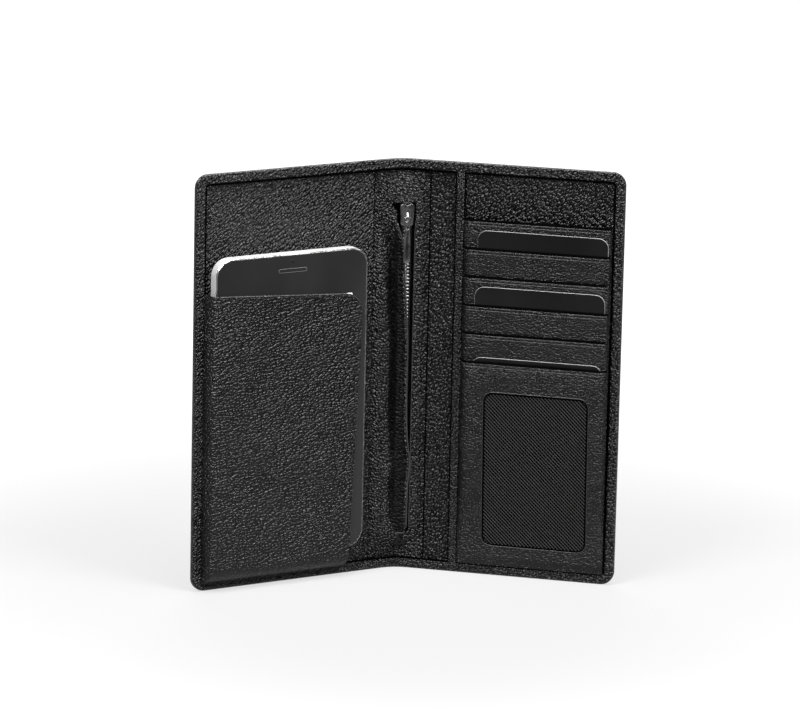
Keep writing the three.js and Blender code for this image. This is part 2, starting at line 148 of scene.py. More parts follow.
def new_piece(name, verts, faces, *materials, recalculate=True):
    """A smooth-shaded mesh object. Open sheets keep the winding that they are given."""
    mesh = bpy.data.meshes.new(name)
    mesh.from_pydata(np.reshape(verts, (-1, 3)).tolist(), [], [list(map(int, face)) for face in faces])
    mesh.validate()
    builder = bmesh.new()
    builder.from_mesh(mesh)
    bmesh.ops.remove_doubles(builder, verts=builder.verts, dist=1e-6)
    if recalculate:
        bmesh.ops.recalc_face_normals(builder, faces=builder.faces)
    builder.to_mesh(mesh)
    builder.free()
    for material in materials:
        mesh.materials.append(material)
    mesh.polygons.foreach_set("use_smooth", [True] * len(mesh.polygons))
    return add_object(name, mesh)


def settle(piece, body, slot, *nodes):
    """Gives a piece its body and hides the CAD nodes that it replaces; the slot is not used."""
    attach(piece, body)
    if nodes:
        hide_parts(*nodes)


def bands(rings, closed=True):
    """Quads between each ring of vertex numbers and the next one."""
    faces = []
    for a, b in zip(rings[:-1], rings[1:]):
        for k in range(len(a) if closed else len(a) - 1):
            m = (k + 1) % len(a)
            faces.append((a[k], a[m], b[m], b[k]))
    return faces


def numbered(rows, columns, start=0):
    """Vertex numbers of a grid, row by row."""
    return start + np.arange(rows * columns).reshape(rows, columns)


def grid_faces(rows, columns, start=0):
    return bands(numbered(rows, columns, start), closed=False)


def boundary(rows, columns):
    """Vertex numbers round the outside of a grid, in order."""
    number = numbered(rows, columns)
    return np.concatenate([number[0], number[1:, -1], number[-1, -2::-1], number[-2:0:-1, 0]])


def unit(vectors):
    return vectors / np.maximum(np.linalg.norm(vectors, axis=-1), 1e-12)[..., None]


def loop_normals(points):
    """Outward unit normals of a closed flat loop of (a, b) points."""
    ahead, behind = np.roll(points, -1, axis=0), np.roll(points, 1, axis=0)
    tangent = unit(points - behind) + unit(ahead - points)
    normal = unit(np.stack([tangent[:, 1], -tangent[:, 0]], axis=1))
    area = np.sum(points[:, 0] * ahead[:, 1] - ahead[:, 0] * points[:, 1])
    return normal if area > 0 else -normal


def lines(start, end, step, fine_start=0, fine_end=0, count=6):
    """Rising positions from start to end, with a finer run of the given length at either end."""
    low = [start + fine_start * i / count for i in range(count)] if fine_start else []
    high = [end - fine_end * i / count for i in range(count)][::-1] if fine_end else []
    a, b = start + fine_start, end - fine_end
    middle = np.linspace(a, b, max(2, int(round((b - a) / step)) + 1))
    return np.array(low + list(middle) + high)


def flat_grid(c_lines, z_lines):
    return np.stack(np.meshgrid(c_lines, z_lines, indexing="ij"), axis=-1)


def rounded_grid(c_lines, z_lines, corners):
    """A grid of (c, z) points. corners is {(which c end, which z end): radius}, each end 0 or -1."""
    c, z = np.moveaxis(flat_grid(c_lines, z_lines), -1, 0)
    for (c_end, z_end), radius in corners.items():
        sc, sz = (1 if c_end else -1), (1 if z_end else -1)
        centre_c, centre_z = c_lines[c_end] - sc * radius, z_lines[z_end] - sz * radius
        a, b = (c - centre_c) * sc / radius, (z - centre_z) * sz / radius
        inside = (a > 1e-9) & (b > 1e-9)
        reach = np.maximum(a, b)
        low = np.minimum(a, b) / np.maximum(reach, 1e-9) * math.pi / 4
        angle = np.where(a >= b, low, math.pi / 2 - low)
        c = np.where(inside, centre_c + sc * radius * reach * np.cos(angle), c)
        z = np.where(inside, centre_z + sz * radius * reach * np.sin(angle), z)
    return np.stack([c, z], axis=-1)


RIM_STEPS = 4


def half_round(outline, outward, middle, half):
    """Rings of points round a sheet's edge, between its upper side and its lower one."""
    rings = []
    for k in range(1, RIM_STEPS):
        angle = math.pi * k / RIM_STEPS
        ring = outline + outward * half * (math.sin(angle) - 1)
        rings.append(fold(ring[:, 0], middle + half * math.cos(angle), ring[:, 1]))
    return rings


def leather_sheet(name, grid, face, thickness, material):
    """A closed sheet with a half-round rim. face(c, z) is the height n of its upper side."""
    rows, columns = grid.shape[:2]
    half = thickness / 2
    loop = boundary(rows, columns)
    flat = grid.reshape(-1, 2).copy()
    outline = flat[loop]
    outward = loop_normals(outline)
    flat[loop] = outline - outward * half
    top = face(flat[:, 0], flat[:, 1])
    verts = [fold(flat[:, 0], top, flat[:, 1]), fold(flat[:, 0], top - thickness, flat[:, 1])]
    count = rows * columns
    faces = grid_faces(rows, columns) + [f[::-1] for f in grid_faces(rows, columns, count)]
    verts += half_round(outline, outward, face(flat[loop, 0], flat[loop, 1]) - half, half)
    faces += bands([loop, *numbered(RIM_STEPS - 1, len(loop), 2 * count), loop + count])
    return new_piece(name, np.concatenate(verts), faces, material)


def blocks(name, size, bevel, places, material, segments=2):
    """Boxes of one size with rounded edges, one round each place."""
    builder = bmesh.new()
    bmesh.ops.create_cube(builder, size=1)
    bmesh.ops.scale(builder, vec=Vector(size), verts=builder.verts)
    bmesh.ops.bevel(builder, geom=builder.edges[:], offset=bevel, segments=segments, affect="EDGES",
                    profile=0.5)
    verts = np.array([v.co for v in builder.verts])
    faces = [[v.index for v in f.verts] for f in builder.faces]
    builder.free()
    moved = np.concatenate([verts + np.array(place) for place in places])
    faces = [[i + k * len(verts) for i in face] for k in range(len(places)) for face in faces]
    return new_piece(name, moved, faces, material)


STITCH_LENGTH = 2.5 * MM
STITCH_PITCH = 3.1 * MM
STITCH_SIDES = 6


def stitch_row(name, path, height, radius=0.34 * MM):
    """Threads along a flat path of (c, z) points, each a bead that dips into the leather at its ends."""
    path = np.asarray(path, float)
    run = np.concatenate([[0], np.cumsum(np.linalg.norm(np.diff(path, axis=0), axis=1))])
    heights = np.broadcast_to(height, run.shape)
    count = int((run[-1] - STITCH_LENGTH) / STITCH_PITCH)
    spare = (run[-1] - count * STITCH_PITCH) / 2
    along = np.linspace(-0.5, 0.5, 6)
    turn = np.linspace(0, 2 * math.pi, STITCH_SIDES, endpoint=False)
    verts, faces = [], []

    def spot(at):
        return np.array([np.interp(at, run, path[:, 0]), np.interp(at, run, path[:, 1])])

    for k in range(count):
        for t in along:
            at = spare + (k + 0.5) * STITCH_PITCH + t * STITCH_LENGTH
            c, z = spot(at)
            tangent = unit(spot(at + 1e-4) - (c, z))
            swell = math.sqrt(max(0.04, 1 - (2 * t) ** 4))
            lift = 0.45 * radius - (2 * t) ** 4 * 1.1 * radius
            across = radius * swell * np.cos(turn)
            n = np.interp(at, run, heights) + lift + radius * swell * np.sin(turn)
            verts.append(fold(c - tangent[1] * across, n, z + tangent[0] * across))
        rings = numbered(len(along), STITCH_SIDES, k * len(along) * STITCH_SIDES)
        faces += bands(rings) + [rings[0][::-1], rings[-1]]
    return new_piece(name, np.concatenate(verts), faces, THREAD)


def on_leather(path, height):
    """World points of a flat path of (c, z) points at the given height, with their outward directions."""
    path = np.asarray(path, float)
    points = fold(path[:, 0], height, path[:, 1])
    out = fold(path[:, 0], np.asarray(height) + 1 * MM, path[:, 1]) - points
    return points, unit(out)


def tube(name, placed, half_width, half_height, material, sides=8):
    """A closed bead along points with outward directions, oval in section."""
    points, out = placed
    across = unit(np.cross(np.gradient(points, axis=0), out))
    angles = np.linspace(0, 2 * math.pi, sides, endpoint=False)
    verts = [points + across * half_width * math.cos(a) + out * half_height * math.sin(a) for a in angles]
    rings = numbered(len(points), sides)
    return new_piece(name, np.stack(verts, axis=1), bands(rings) + [rings[0], rings[-1]], material)


def sharpen(piece, degrees=32):
    """Smooth shading that keeps the edges sharper than an angle."""
    builder = bmesh.new()
    builder.from_mesh(piece.data)
    for edge in builder.edges:
        edge.smooth = len(edge.link_faces) == 2 and edge.calc_face_angle() < math.radians(degrees)
    for face in builder.faces:
        face.smooth = True
    builder.to_mesh(piece.data)
    builder.free()


# ---- Materials ----


class Shader:
    """A material being built: node() adds a node, sets its values and links its inputs."""

    def __init__(self, name):
        self.material = bpy.data.materials.new(name)
        self.material.use_nodes = True
        self.tree = self.material.node_tree
        self.surface = self.tree.nodes["Principled BSDF"]
        self.place = self.node("ShaderNodeTexCoord").outputs["Object"]

    def node(self, kind, settings=None, **inputs):
        made = self.tree.nodes.new(kind)
        for key, value in (settings or {}).items():
            setattr(made, key, value)
        for key, value in inputs.items():
            self.put(made.inputs[int(key[1:]) if key[1:].isdigit() else key.replace("_", " ")], value)
        return made

    def put(self, socket, value):
        if isinstance(value, bpy.types.NodeSocket):
            self.tree.links.new(value, socket)
        else:
            socket.default_value = value

    def set(self, **inputs):
        for key, value in inputs.items():
            self.put(self.surface.inputs[key.replace("_", " ")], value)
        return self

    def mapped(self, scale=(1, 1, 1), rotation=(0, 0, 0), vector=None):
        return self.node("ShaderNodeMapping", None, Vector=vector or self.place, Scale=scale,
                         Rotation=rotation).outputs[0]

    def noise(self, scale, detail=2, vector=None, roughness=0.5, distortion=0.0):
        return self.node("ShaderNodeTexNoise", None, Vector=vector or self.place, Scale=scale, Detail=detail,
                         Roughness=roughness, Distortion=distortion)

    def wave(self, direction, scale):
        return self.node("ShaderNodeTexWave", {"bands_direction": direction}, Vector=self.place,
                         Scale=scale).outputs["Fac"]

    def voronoi(self, scale, feature, vector):
        return self.node("ShaderNodeTexVoronoi", {"feature": feature}, Vector=vector, Scale=scale,
                         Randomness=1.0).outputs["Distance"]

    def math(self, operation, a, b=0.0):
        return self.node("ShaderNodeMath", {"operation": operation}, _0=a, _1=b).outputs[0]

    def total(self, terms):
        """The weighted sum of (value, weight) pairs."""
        result = 0.0
        for value, weight in terms:
            made = self.node("ShaderNodeMath", {"operation": "MULTIPLY_ADD"}, _0=value, _1=weight, _2=result)
            result = made.outputs[0]
        return result

    def range(self, value, low, high, to_low=0.0, to_high=1.0):
        return self.node("ShaderNodeMapRange", {"interpolation_type": "SMOOTHSTEP"}, _0=value, _1=low,
                         _2=high, _3=to_low, _4=to_high).outputs[0]

    def mix(self, factor, a, b):
        made = self.node("ShaderNodeMix", {"data_type": "RGBA"})
        self.put(made.inputs[0], factor)
        self.put(made.inputs[6], a)
        self.put(made.inputs[7], b)
        return made.outputs[2]

    def bump(self, height, distance, strength=1.0, normal=None):
        made = self.node("ShaderNodeBump", None, Height=height, Distance=distance, Strength=strength)
        if normal:
            self.put(made.inputs["Normal"], normal)
        return made.outputs[0]


def grey(value, warm=0.0):
    return (value * (1 + warm), value, value * (1 - warm), 1)


def leather_material(name, colour, cell, relief, rough, direction=0.6, stretch=1.35, shine=0.5):
    """Pebble-grain leather: domed cells with creases between, drawn out along one direction."""
    s = Shader(name)
    turned = s.mapped(rotation=(0, direction, 0))
    drawn = s.mapped(scale=(1 / stretch, 1, stretch ** 0.5), vector=turned)
    wander = s.noise(1 / (5 * cell), 2, drawn).outputs["Color"]
    offset = s.node("ShaderNodeVectorMath", {"operation": "MULTIPLY_ADD"}, _0=wander,
                    _1=(0.9 * cell,) * 3, _2=drawn).outputs[0]
    middle = s.voronoi(1 / cell, "F1", offset)
    edges = s.voronoi(1 / cell, "DISTANCE_TO_EDGE", offset)
    small = s.voronoi(2.3 / cell, "F1", offset)
    dome = s.math("POWER", middle, 3.5)
    crease = s.range(edges, 0.02, 0.2)
    fine = s.noise(2600, 3, roughness=0.6).outputs[0]
    height = s.total([(dome, -2.0), (crease, 0.3), (s.math("MULTIPLY", small, small), -0.22), (fine, 0.07)])
    patches = s.range(s.noise(28, 3).outputs[0], 0.3, 0.7, 0.6, 1.0)
    soft = s.bump(s.noise(95, 2).outputs[0], 2.2 * MM, 0.22)
    bump = s.bump(s.math("MULTIPLY", height, patches), relief, 1.0, soft)
    # Creases get a tenth of the leather's colour and the cells' tops a little more: painted shade in the
    # creases.
    tone = s.mix(crease, grey(colour * 0.1), grey(colour * 1.1, 0.012))
    worn = s.mix(s.range(s.noise(14, 4).outputs[0], 0.3, 0.75, 0.0, 0.35), tone, grey(colour * 0.7))
    gloss = s.range(crease, 0.0, 1.0, rough + 0.1, rough)
    varied = s.math("ADD", gloss, s.range(s.noise(60, 3).outputs[0], 0.3, 0.7, -0.04, 0.06))
    s.set(Base_Color=worn, Roughness=varied, Normal=bump, Specular_IOR_Level=shine)
    return s.material


def fabric_material(name, colour, pitch, shine=0.3):
    """Plain woven cloth from two crossing wave patterns."""
    s = Shader(name)
    weave = s.math("MULTIPLY", s.wave("X", 0.5 / pitch), s.wave("Z", 0.5 / pitch))
    fibres = s.noise(4000, 2).outputs[0]
    tone = s.mix(weave, grey(colour * 0.5), grey(colour * 1.3))
    s.set(Base_Color=s.mix(s.range(fibres, 0.4, 0.7, 0, 0.4), tone, grey(colour)),
          Roughness=s.range(fibres, 0.2, 0.8, 0.75, 0.95), Normal=s.bump(weave, 0.12 * MM),
          Specular_IOR_Level=shine)
    return s.material


def thread_material(name, colour):
    s = Shader(name)
    twist = s.wave("DIAGONAL", 1500)
    s.set(Base_Color=s.mix(twist, grey(colour * 0.6), grey(colour * 1.4)), Normal=s.bump(twist, 0.05 * MM),
          Roughness=s.range(s.noise(5000, 2).outputs[0], 0.3, 0.7, 0.42, 0.62))
    return s.material


def metal_material(name, colour, rough, tarnish=0.3):
    s = Shader(name)
    cloud = s.noise(220, 4).outputs[0]
    scratch = s.noise(900, 3, s.mapped(scale=(1, 1, 0.12))).outputs[0]
    worn = s.range(scratch, 0.45, 0.7, 0, 0.08)
    s.set(Base_Color=s.mix(s.range(cloud, 0.35, 0.75, 0, tarnish), grey(colour), grey(colour * 0.45, 0.04)),
          Roughness=s.math("ADD", s.range(cloud, 0.3, 0.8, rough, rough + 0.14), worn),
          Normal=s.bump(scratch, 0.02 * MM, 0.5), Metallic=1.0)
    return s.material


def plastic_material(name, colour, rough, specular=0.5):
    """Smooth moulded or printed plastic with faint smears and a very fine texture."""
    s = Shader(name)
    smear = s.noise(30, 4, s.mapped(scale=(1, 1, 0.4)), distortion=0.6).outputs[0]
    dust = s.noise(2600, 2).outputs[0]
    gloss = s.math("ADD", s.range(smear, 0.3, 0.75, rough, rough + 0.08), s.range(dust, 0.5, 0.8, 0, 0.04))
    s.set(Base_Color=s.mix(s.range(smear, 0.3, 0.8), grey(colour), grey(colour * 1.25, 0.01)),
          Roughness=gloss, Normal=s.bump(dust, 0.01 * MM, 0.4), Specular_IOR_Level=specular)
    return s.material


def board_material(name):
    s = Shader(name)
    fibre = s.noise(700, 5, s.mapped(scale=(1, 1, 0.3))).outputs[0]
    s.set(Base_Color=s.mix(fibre, (0.3, 0.27, 0.22, 1), (0.5, 0.46, 0.4, 1)), Roughness=0.95,
          Normal=s.bump(fibre, 0.1 * MM))
    return s.material


LEATHER = 0.002
OUTER = leather_material("outer_leather_look", LEATHER, 1.7 * MM, 1.1 * MM, 0.24)
BORDER_LOOK = leather_material("edge_leather_look", LEATHER, 1.3 * MM, 0.6 * MM, 0.24)
PANEL = leather_material("panel_leather_look", LEATHER, 1.6 * MM, 1.3 * MM, 0.24, 0.85, 1.5)
POCKET = leather_material("pocket_leather_look", LEATHER, 1.7 * MM, 0.6 * MM, 0.25, 0.1, 1.4)
SLOT = leather_material("slot_leather_look", LEATHER, 1.3 * MM, 0.35 * MM, 0.27, 0.2, 1.2)
ZIP_LEATHER = leather_material("zip_leather_look", LEATHER, 1.6 * MM, 1.1 * MM, 0.24, -0.5, 1.3)
# Smoother leather for folded edges, pressed lines and cut edges, ten times lighter than the rest: painted
# highlight.
HIGHLIGHT_RIM = leather_material("rim_painted_highlight_look", 0.02, 1.1 * MM, 0.12 * MM, 0.3, shine=0.8)
# A darker, duller leather for the valley left of the zip's left lip: painted shade.
PAINTED_FOLD_SHADE = leather_material("zip_fold_painted_shade_look", 0.001, 1.6 * MM, 0.8 * MM, 0.42, -0.5, shine=0.16)
# A lighter, glossy bead colour for the zip slot's lip edges: painted highlight.
LIP_HIGHLIGHT = plastic_material("zip_lip_highlight_look", 0.03, 0.28, 0.6)
# Near-black, hardly shiny cloth for thin tubes laid where seams and edges fall into shade: painted shade.
PAINTED_SHADE = fabric_material("seam_painted_shade_look", 0.0006, 0.2 * MM, 0.04)
THREAD = thread_material("thread_look", 0.012)
LINING = fabric_material("lining_look", 0.012, 0.35 * MM)
TAPE = fabric_material("tape_look", 0.008, 0.5 * MM)
WEAVE = fabric_material("mesh_thread_look", 0.05, 0.2 * MM, 0.5)
BACKING = fabric_material("mesh_backing_look", 0.0006, 0.3 * MM, 0.04)
NICKEL = metal_material("nickel_look", 0.62, 0.22)
DARK_NICKEL = metal_material("dark_nickel_look", 0.24, 0.24)
CASE = plastic_material("phone_case_look", 0.42, 0.3)
CHAMFER = metal_material("phone_chamfer_look", 0.92, 0.2, 0.03)
GLASS = plastic_material("phone_glass_look", 0.018, 0.13)
SENSOR = plastic_material("phone_sensor_look", 0.01, 0.1)
GRILLE = plastic_material("phone_grille_look", 0.11, 0.4)
# A near-white patch on the phone's glass: a painted reflection.
PAINTED_GLINT = plastic_material("phone_painted_glint_look", 0.85, 0.4)
CARD = plastic_material("card_look", 0.005, 0.3, 0.35)
CARD_EDGE = plastic_material("card_edge_look", 0.26, 0.5, 0.4)
BOARD = board_material("board_look")

# ---- Outer leather: back, rolled edge and turned border, in two halves that meet on the spine ----

BACK_INSET = 1.7 * MM
STITCH_INSET = 2.75 * MM
# (inset, rise) in mm: rises of the rolled edge from the back's leather, of the border from its own face.
ROLLED_EDGE = [(0.9, 0), (0.35, 0.25), (0.06, 0.8), (0, 1.6)]
TURNED_BORDER = [(0, -1.5), (0.07, -0.75), (0.38, -0.22), (0.95, 0), (1.7, 0.04), (2.3, -0.02), (2.6, -0.16),
                 (2.9, -0.16), (3.2, -0.02), (3.9, 0.05), (4.7, 0), (5.05, -0.15), (5.2, -0.6), (5.2, -1.5),
                 (4.5, -1.9)]


def edge_path(grid):
    """Vertex numbers and outward directions along the bottom, up the outer edge and back along the top."""
    rows, columns = grid.shape[:2]
    number = numbered(rows, columns)
    index = np.concatenate([number[:, 0], number[-1, 1:], number[-2::-1, -1]])
    path = grid.reshape(-1, 2)[index]
    beyond = np.array([50 * MM, 0])
    outward = loop_normals(np.concatenate([path, [path[-1] - beyond, path[0] - beyond]]))[: len(path)]
    outward[0], outward[-1] = (0, -1), (0, 1)
    return index, outward


def leather_half(side):
    end = FOLD_C + COVER_END
    radius = CORNER_RADIUS - BACK_INSET
    near_fold = np.array([0, 0.3, 1.0]) * MM
    c_lines = np.concatenate([near_fold, lines(2 * MM, end - BACK_INSET, 2.4 * MM, fine_end=radius)])
    z_lines = lines(BACK_INSET, HEIGHT - BACK_INSET, 5 * MM, fine_start=radius, fine_end=radius)
    grid = rounded_grid(c_lines, z_lines, {(-1, 0): radius, (-1, -1): radius})
    rows, columns = grid.shape[:2]
    flat = grid.reshape(-1, 2)
    swell = 0.25 * MM * ripple(flat[:, 0], flat[:, 1], 45 * MM, 3.1 + side)
    inward = np.minimum(np.minimum(flat[:, 1], HEIGHT - flat[:, 1]), end - flat[:, 0])
    swell = swell * ease((inward - BACK_INSET) / (12 * MM)) * ease((flat[:, 0] - 6 * MM) / (25 * MM))
    verts = [fold(side * flat[:, 0], OUTER_FACE + swell, flat[:, 1])]

    index, outward = edge_path(grid)
    path = flat[index]
    profile = [(inset, OUTER_FACE + rise * MM) for inset, rise in ROLLED_EDGE]
    profile += [(inset, EDGE_FACE + rise * MM) for inset, rise in TURNED_BORDER]
    rings = [index]
    for k, (inset, n) in enumerate(profile):
        ring = path + outward * (BACK_INSET - inset * MM)
        wobble = 0.06 * MM * ripple(ring[:, 0], ring[:, 1], 9 * MM, 7.7) if n >= EDGE_FACE - 0.2 * MM else 0
        verts.append(fold(side * ring[:, 0], n + wobble, ring[:, 1]))
        rings.append(rows * columns + k * len(path) + np.arange(len(path)))
    faces = grid_faces(rows, columns) + bands(rings, closed=False)
    piece = new_piece(f"{side_name(side)}_leather_and_turned_edge", np.concatenate(verts), faces, OUTER)
    return piece, edge_stitches(side, path, outward), border_shade_line(side, path, outward)


def edge_stitches(side, path, outward):
    ring = (path + outward * (BACK_INSET - STITCH_INSET)) * (side, 1)
    return stitch_row(f"{side_name(side)}_edge_stitches_inside", ring, EDGE_FACE - 0.34 * MM)


def border_shade_line(side, path, outward):
    """A dark tube of painted shade along the line where the turned edge lies on the panels, which are thinner
    near the spine.
    """
    ring = path + outward * (BACK_INSET - BORDER - 0.55 * MM)
    panel = cover_box("card_panel_backing" if side == RIGHT else "left_document_sleeve", side)[1][1]
    zip_face = 2.15 * MM
    level = zip_face + (INNER_FACE - zip_face) * ease((ring[:, 0] - 11 * MM) / (5 * MM))
    level = np.where(ring[:, 0] > FOLD_C + 19 * MM, panel, level) + 0.06 * MM
    placed = on_leather(ring * (side, 1), level)
    return tube(f"{side_name(side)}_border_shade_line", placed, 0.62 * MM, 0.14 * MM, PAINTED_SHADE)


def bend_at_hinge(piece, side):
    """Bakes a piece's transform into its mesh."""
    f"{side_name(side)}_cover"
    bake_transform(piece)


def add_outer_leather():
    for side in (LEFT, RIGHT):
        pieces = leather_half(side)
        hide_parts(f"{side_name(side)}_cover_leather", f"{side_name(side)}_turned_edge",
                    "spine_cover_leather", "spine_turned_edge_top", "spine_turned_edge_bottom")
        for piece in pieces:
            bend_at_hinge(piece, side)


add_outer_leather()

# ---- Inner panels of the two covers ----

PANEL_TUCK = 3 * MM


def inner_panel(name, node, side, material, thickness, wave, seed):
    """A leather panel that is open along its spine side and tucked under the turned edge elsewhere."""
    low, high = cover_box(node, side)
    start, end = FOLD_C + low[0], FOLD_C + COVER_END - BORDER + PANEL_TUCK
    c_lines = lines(start, end, 3 * MM, fine_start=4 * MM)
    z_lines = lines(BORDER - PANEL_TUCK, HEIGHT - BORDER + PANEL_TUCK, 3 * MM)

    def height(c_at, z_at):
        from_edge = np.minimum(np.minimum(z_at - BORDER, HEIGHT - BORDER - z_at),
                               FOLD_C + COVER_END - BORDER - np.abs(c_at))
        free = np.minimum(from_edge, np.abs(c_at) - start)
        swell = wave * (0.5 + 0.5 * ripple(c_at, z_at, 32 * MM, seed)) * ease(free / (14 * MM))
        return high[1] - 0.05 * MM + swell

    piece = leather_sheet(name, flat_grid(side * c_lines, z_lines), height, thickness, material)
    settle(piece, f"{side_name(side)}_cover", "inner_leather", node)


inner_panel("left_inner_panel", "left_document_sleeve", LEFT, PANEL, 0.9 * MM, 0.35 * MM, 1.3)
inner_panel("right_inner_panel", "right_document_sleeve", RIGHT, PANEL, 0.35 * MM, 0.0, 2.1)
inner_panel("card_panel", "card_panel_backing", RIGHT, PANEL, 0.4 * MM, 0.25 * MM, 5.2)


def add_edge_strip():
    low, high = cover_box("card_panel_edge_strip", RIGHT)
    c_lines = lines(FOLD_C + low[0], FOLD_C + high[0], 0.45 * MM)
    z_lines = lines(BORDER - PANEL_TUCK / 2, HEIGHT - BORDER + PANEL_TUCK / 2, 3 * MM)
    middle = (c_lines[0] + c_lines[-1]) / 2
    half = (c_lines[-1] - c_lines[0]) / 2

    def height(c_at, z_at):
        across = (c_at - middle) / half
        groove = 0.3 * MM * np.exp(-((across / 0.14) ** 2))
        tucked = 0.5 * MM * (1 - ease(np.minimum(z_at - BORDER, HEIGHT - BORDER - z_at) / (2 * MM)))
        rounded = 0.55 * MM * (1 - dome((1 - np.abs(across)) / 0.4))
        return high[1] + 0.25 * MM - rounded - groove - tucked

    grid = flat_grid(c_lines, z_lines)
    piece = leather_sheet("card_panel_strip", grid, height, high[1] - low[1], BORDER_LOOK)
    settle(piece, "right_cover", "inner_leather", "card_panel_edge_strip")
    path = [(middle, BORDER + 1 * MM), (middle, HEIGHT - BORDER - 1 * MM)]
    settle(stitch_row("card_panel_stitches", path, high[1]), "right_cover", "inner_leather")


add_edge_strip()


def add_sleeve_shade_lines():
    """Dark tubes of painted shade beside each sleeve's free edge, and on both sides of the card panel's edge
    strip.
    """
    z = np.linspace(BORDER, HEIGHT - BORDER, 60)
    left_u = cover_box("left_document_sleeve", LEFT)[0][0]
    right_u = cover_box("right_document_sleeve", RIGHT)[0][0]
    strip_low, strip_high = cover_box("card_panel_edge_strip", RIGHT)
    for name, side, u, level, width in (
            ("left_sleeve_shade_line", LEFT, left_u - 0.45 * MM, 1.6 * MM, 0.5),
            ("right_sleeve_shade_line", RIGHT, right_u - 0.4 * MM, 1.6 * MM, 0.45),
            ("strip_shade_line_left", RIGHT, strip_low[0] - 0.35 * MM, INNER_FACE + 0.06 * MM, 0.45),
            ("strip_shade_line_right", RIGHT, strip_high[0] + 0.4 * MM, strip_high[1] - 0.3 * MM, 0.5)):
        path = np.stack([np.full_like(z, side * (FOLD_C + u)), z], axis=1)
        shade_tube = tube(name, on_leather(path, level), width * MM, 0.14 * MM, PAINTED_SHADE)
        if name.startswith("strip"):
            settle(shade_tube, "right_cover", "inner_leather")
        else:
            bend_at_hinge(shade_tube, side)


add_sleeve_shade_lines()

# ---- Card slots, ID window and cards ----

SLOT_NODES = [f"card_slot_{i}" for i in range(1, 6)]
DIP_START = 5 * MM
DIP_END = 1.3 * MM
HEM = 1.5 * MM
SLOT_THICKNESS = 0.24 * MM


def stack_height(node, order):
    """The face height of one slot leather, leaning as its CAD sheet does and dipping at both ends."""
    low, high = cover_box(node, RIGHT)
    slope = (high[1] - low[1] - SLOT_THICKNESS) / (high[2] - low[2])
    floor = INNER_FACE + (0.12 + 0.09 * order) * MM
    start, end = FOLD_C + low[0] + 0.2 * MM, FOLD_C + high[0] - 0.9 * MM

    def height(c_at, z_at):
        lean = high[1] - slope * (high[2] - z_at)
        raised = dome((c_at - start) / DIP_START) * dome((end - c_at) / DIP_END)
        wave = 0.13 * MM * (ripple(c_at, z_at, 22 * MM, 4.4 + order) - 0.6)
        return floor + SLOT_THICKNESS + (np.maximum(lean - floor - SLOT_THICKNESS, 0) + wave) * raised

    return height, start, end, low, high


def hemmed(height, top):
    """A slot's top edge: folded over to a round edge, with a pressed line a little below it."""
    def lifted(c_at, z_at):
        below = top - z_at
        rounded = 0.3 * MM * (1 - dome(below / (0.6 * MM)))
        crease = 0.3 * MM * np.exp(-(((below - 1.5 * MM) / (0.22 * MM)) ** 2))
        return height(c_at, z_at) + 0.15 * MM * (1 - ease((below - HEM) / (0.5 * MM))) - rounded - crease
    return lifted


def add_mouth(name, face, start, end, top):
    """A pocket's mouth: a dark tube of painted shade just above the edge, then the round fold and the pressed
    line below, both beads of lighter leather as painted highlight.
    """
    c = np.linspace(start + 0.5 * MM, end - 0.3 * MM, 60)
    for part, rise, sunk, half_width, half_height, material in (
            ("mouth_shade", 0.6, 0.1, 0.95, 0.08, PAINTED_SHADE), ("folded_edge", -0.3, 0.1, 0.36, 0.22, HIGHLIGHT_RIM),
            ("pressed_line", -1.95, 0.08, 0.3, 0.15, HIGHLIGHT_RIM)):
        z = np.full_like(c, top + rise * MM)
        level = face(c, np.minimum(z, top - HEM)) - sunk * MM
        placed = on_leather(np.stack([c, z], axis=1), level)
        piece = tube(f"{name}_{part}", placed, half_width * MM, half_height * MM, material)
        settle(piece, "right_cover", "inner_leather")


def add_slots():
    for order, node in enumerate(SLOT_NODES):
        height, start, end, low, high = stack_height(node, order)
        c_lines = lines(start, end, 3 * MM, fine_start=DIP_START, fine_end=DIP_END, count=8)
        z_lines = lines(low[2], high[2], 3 * MM, fine_end=3 * MM, count=20)
        face = hemmed(height, high[2])
        piece = leather_sheet(node + "_leather", flat_grid(c_lines, z_lines), face, SLOT_THICKNESS, SLOT)
        settle(piece, "right_cover", "inner_leather", node)
        add_mouth(node, face, start, end, high[2])


def rounded_loop(c0, c1, z0, z1, radius, side_steps, arc_steps):
    """Points round a rectangle with rounded corners, the same number on every side."""
    points = []
    corners = [(c1 - radius, z0 + radius, -90), (c1 - radius, z1 - radius, 0),
               (c0 + radius, z1 - radius, 90), (c0 + radius, z0 + radius, 180)]
    for k, (cc, cz, turn) in enumerate(corners):
        angles = np.radians(turn + 90 * np.arange(arc_steps + 1) / arc_steps)
        arc = np.stack([cc + radius * np.cos(angles), cz + radius * np.sin(angles)], axis=1)
        straight = np.subtract(corners[(k + 1) % 4][:2], (cc, cz))
        points += [arc[:-1], arc[-1] + straight * np.arange(side_steps)[:, None] / side_steps]
    return np.concatenate(points)


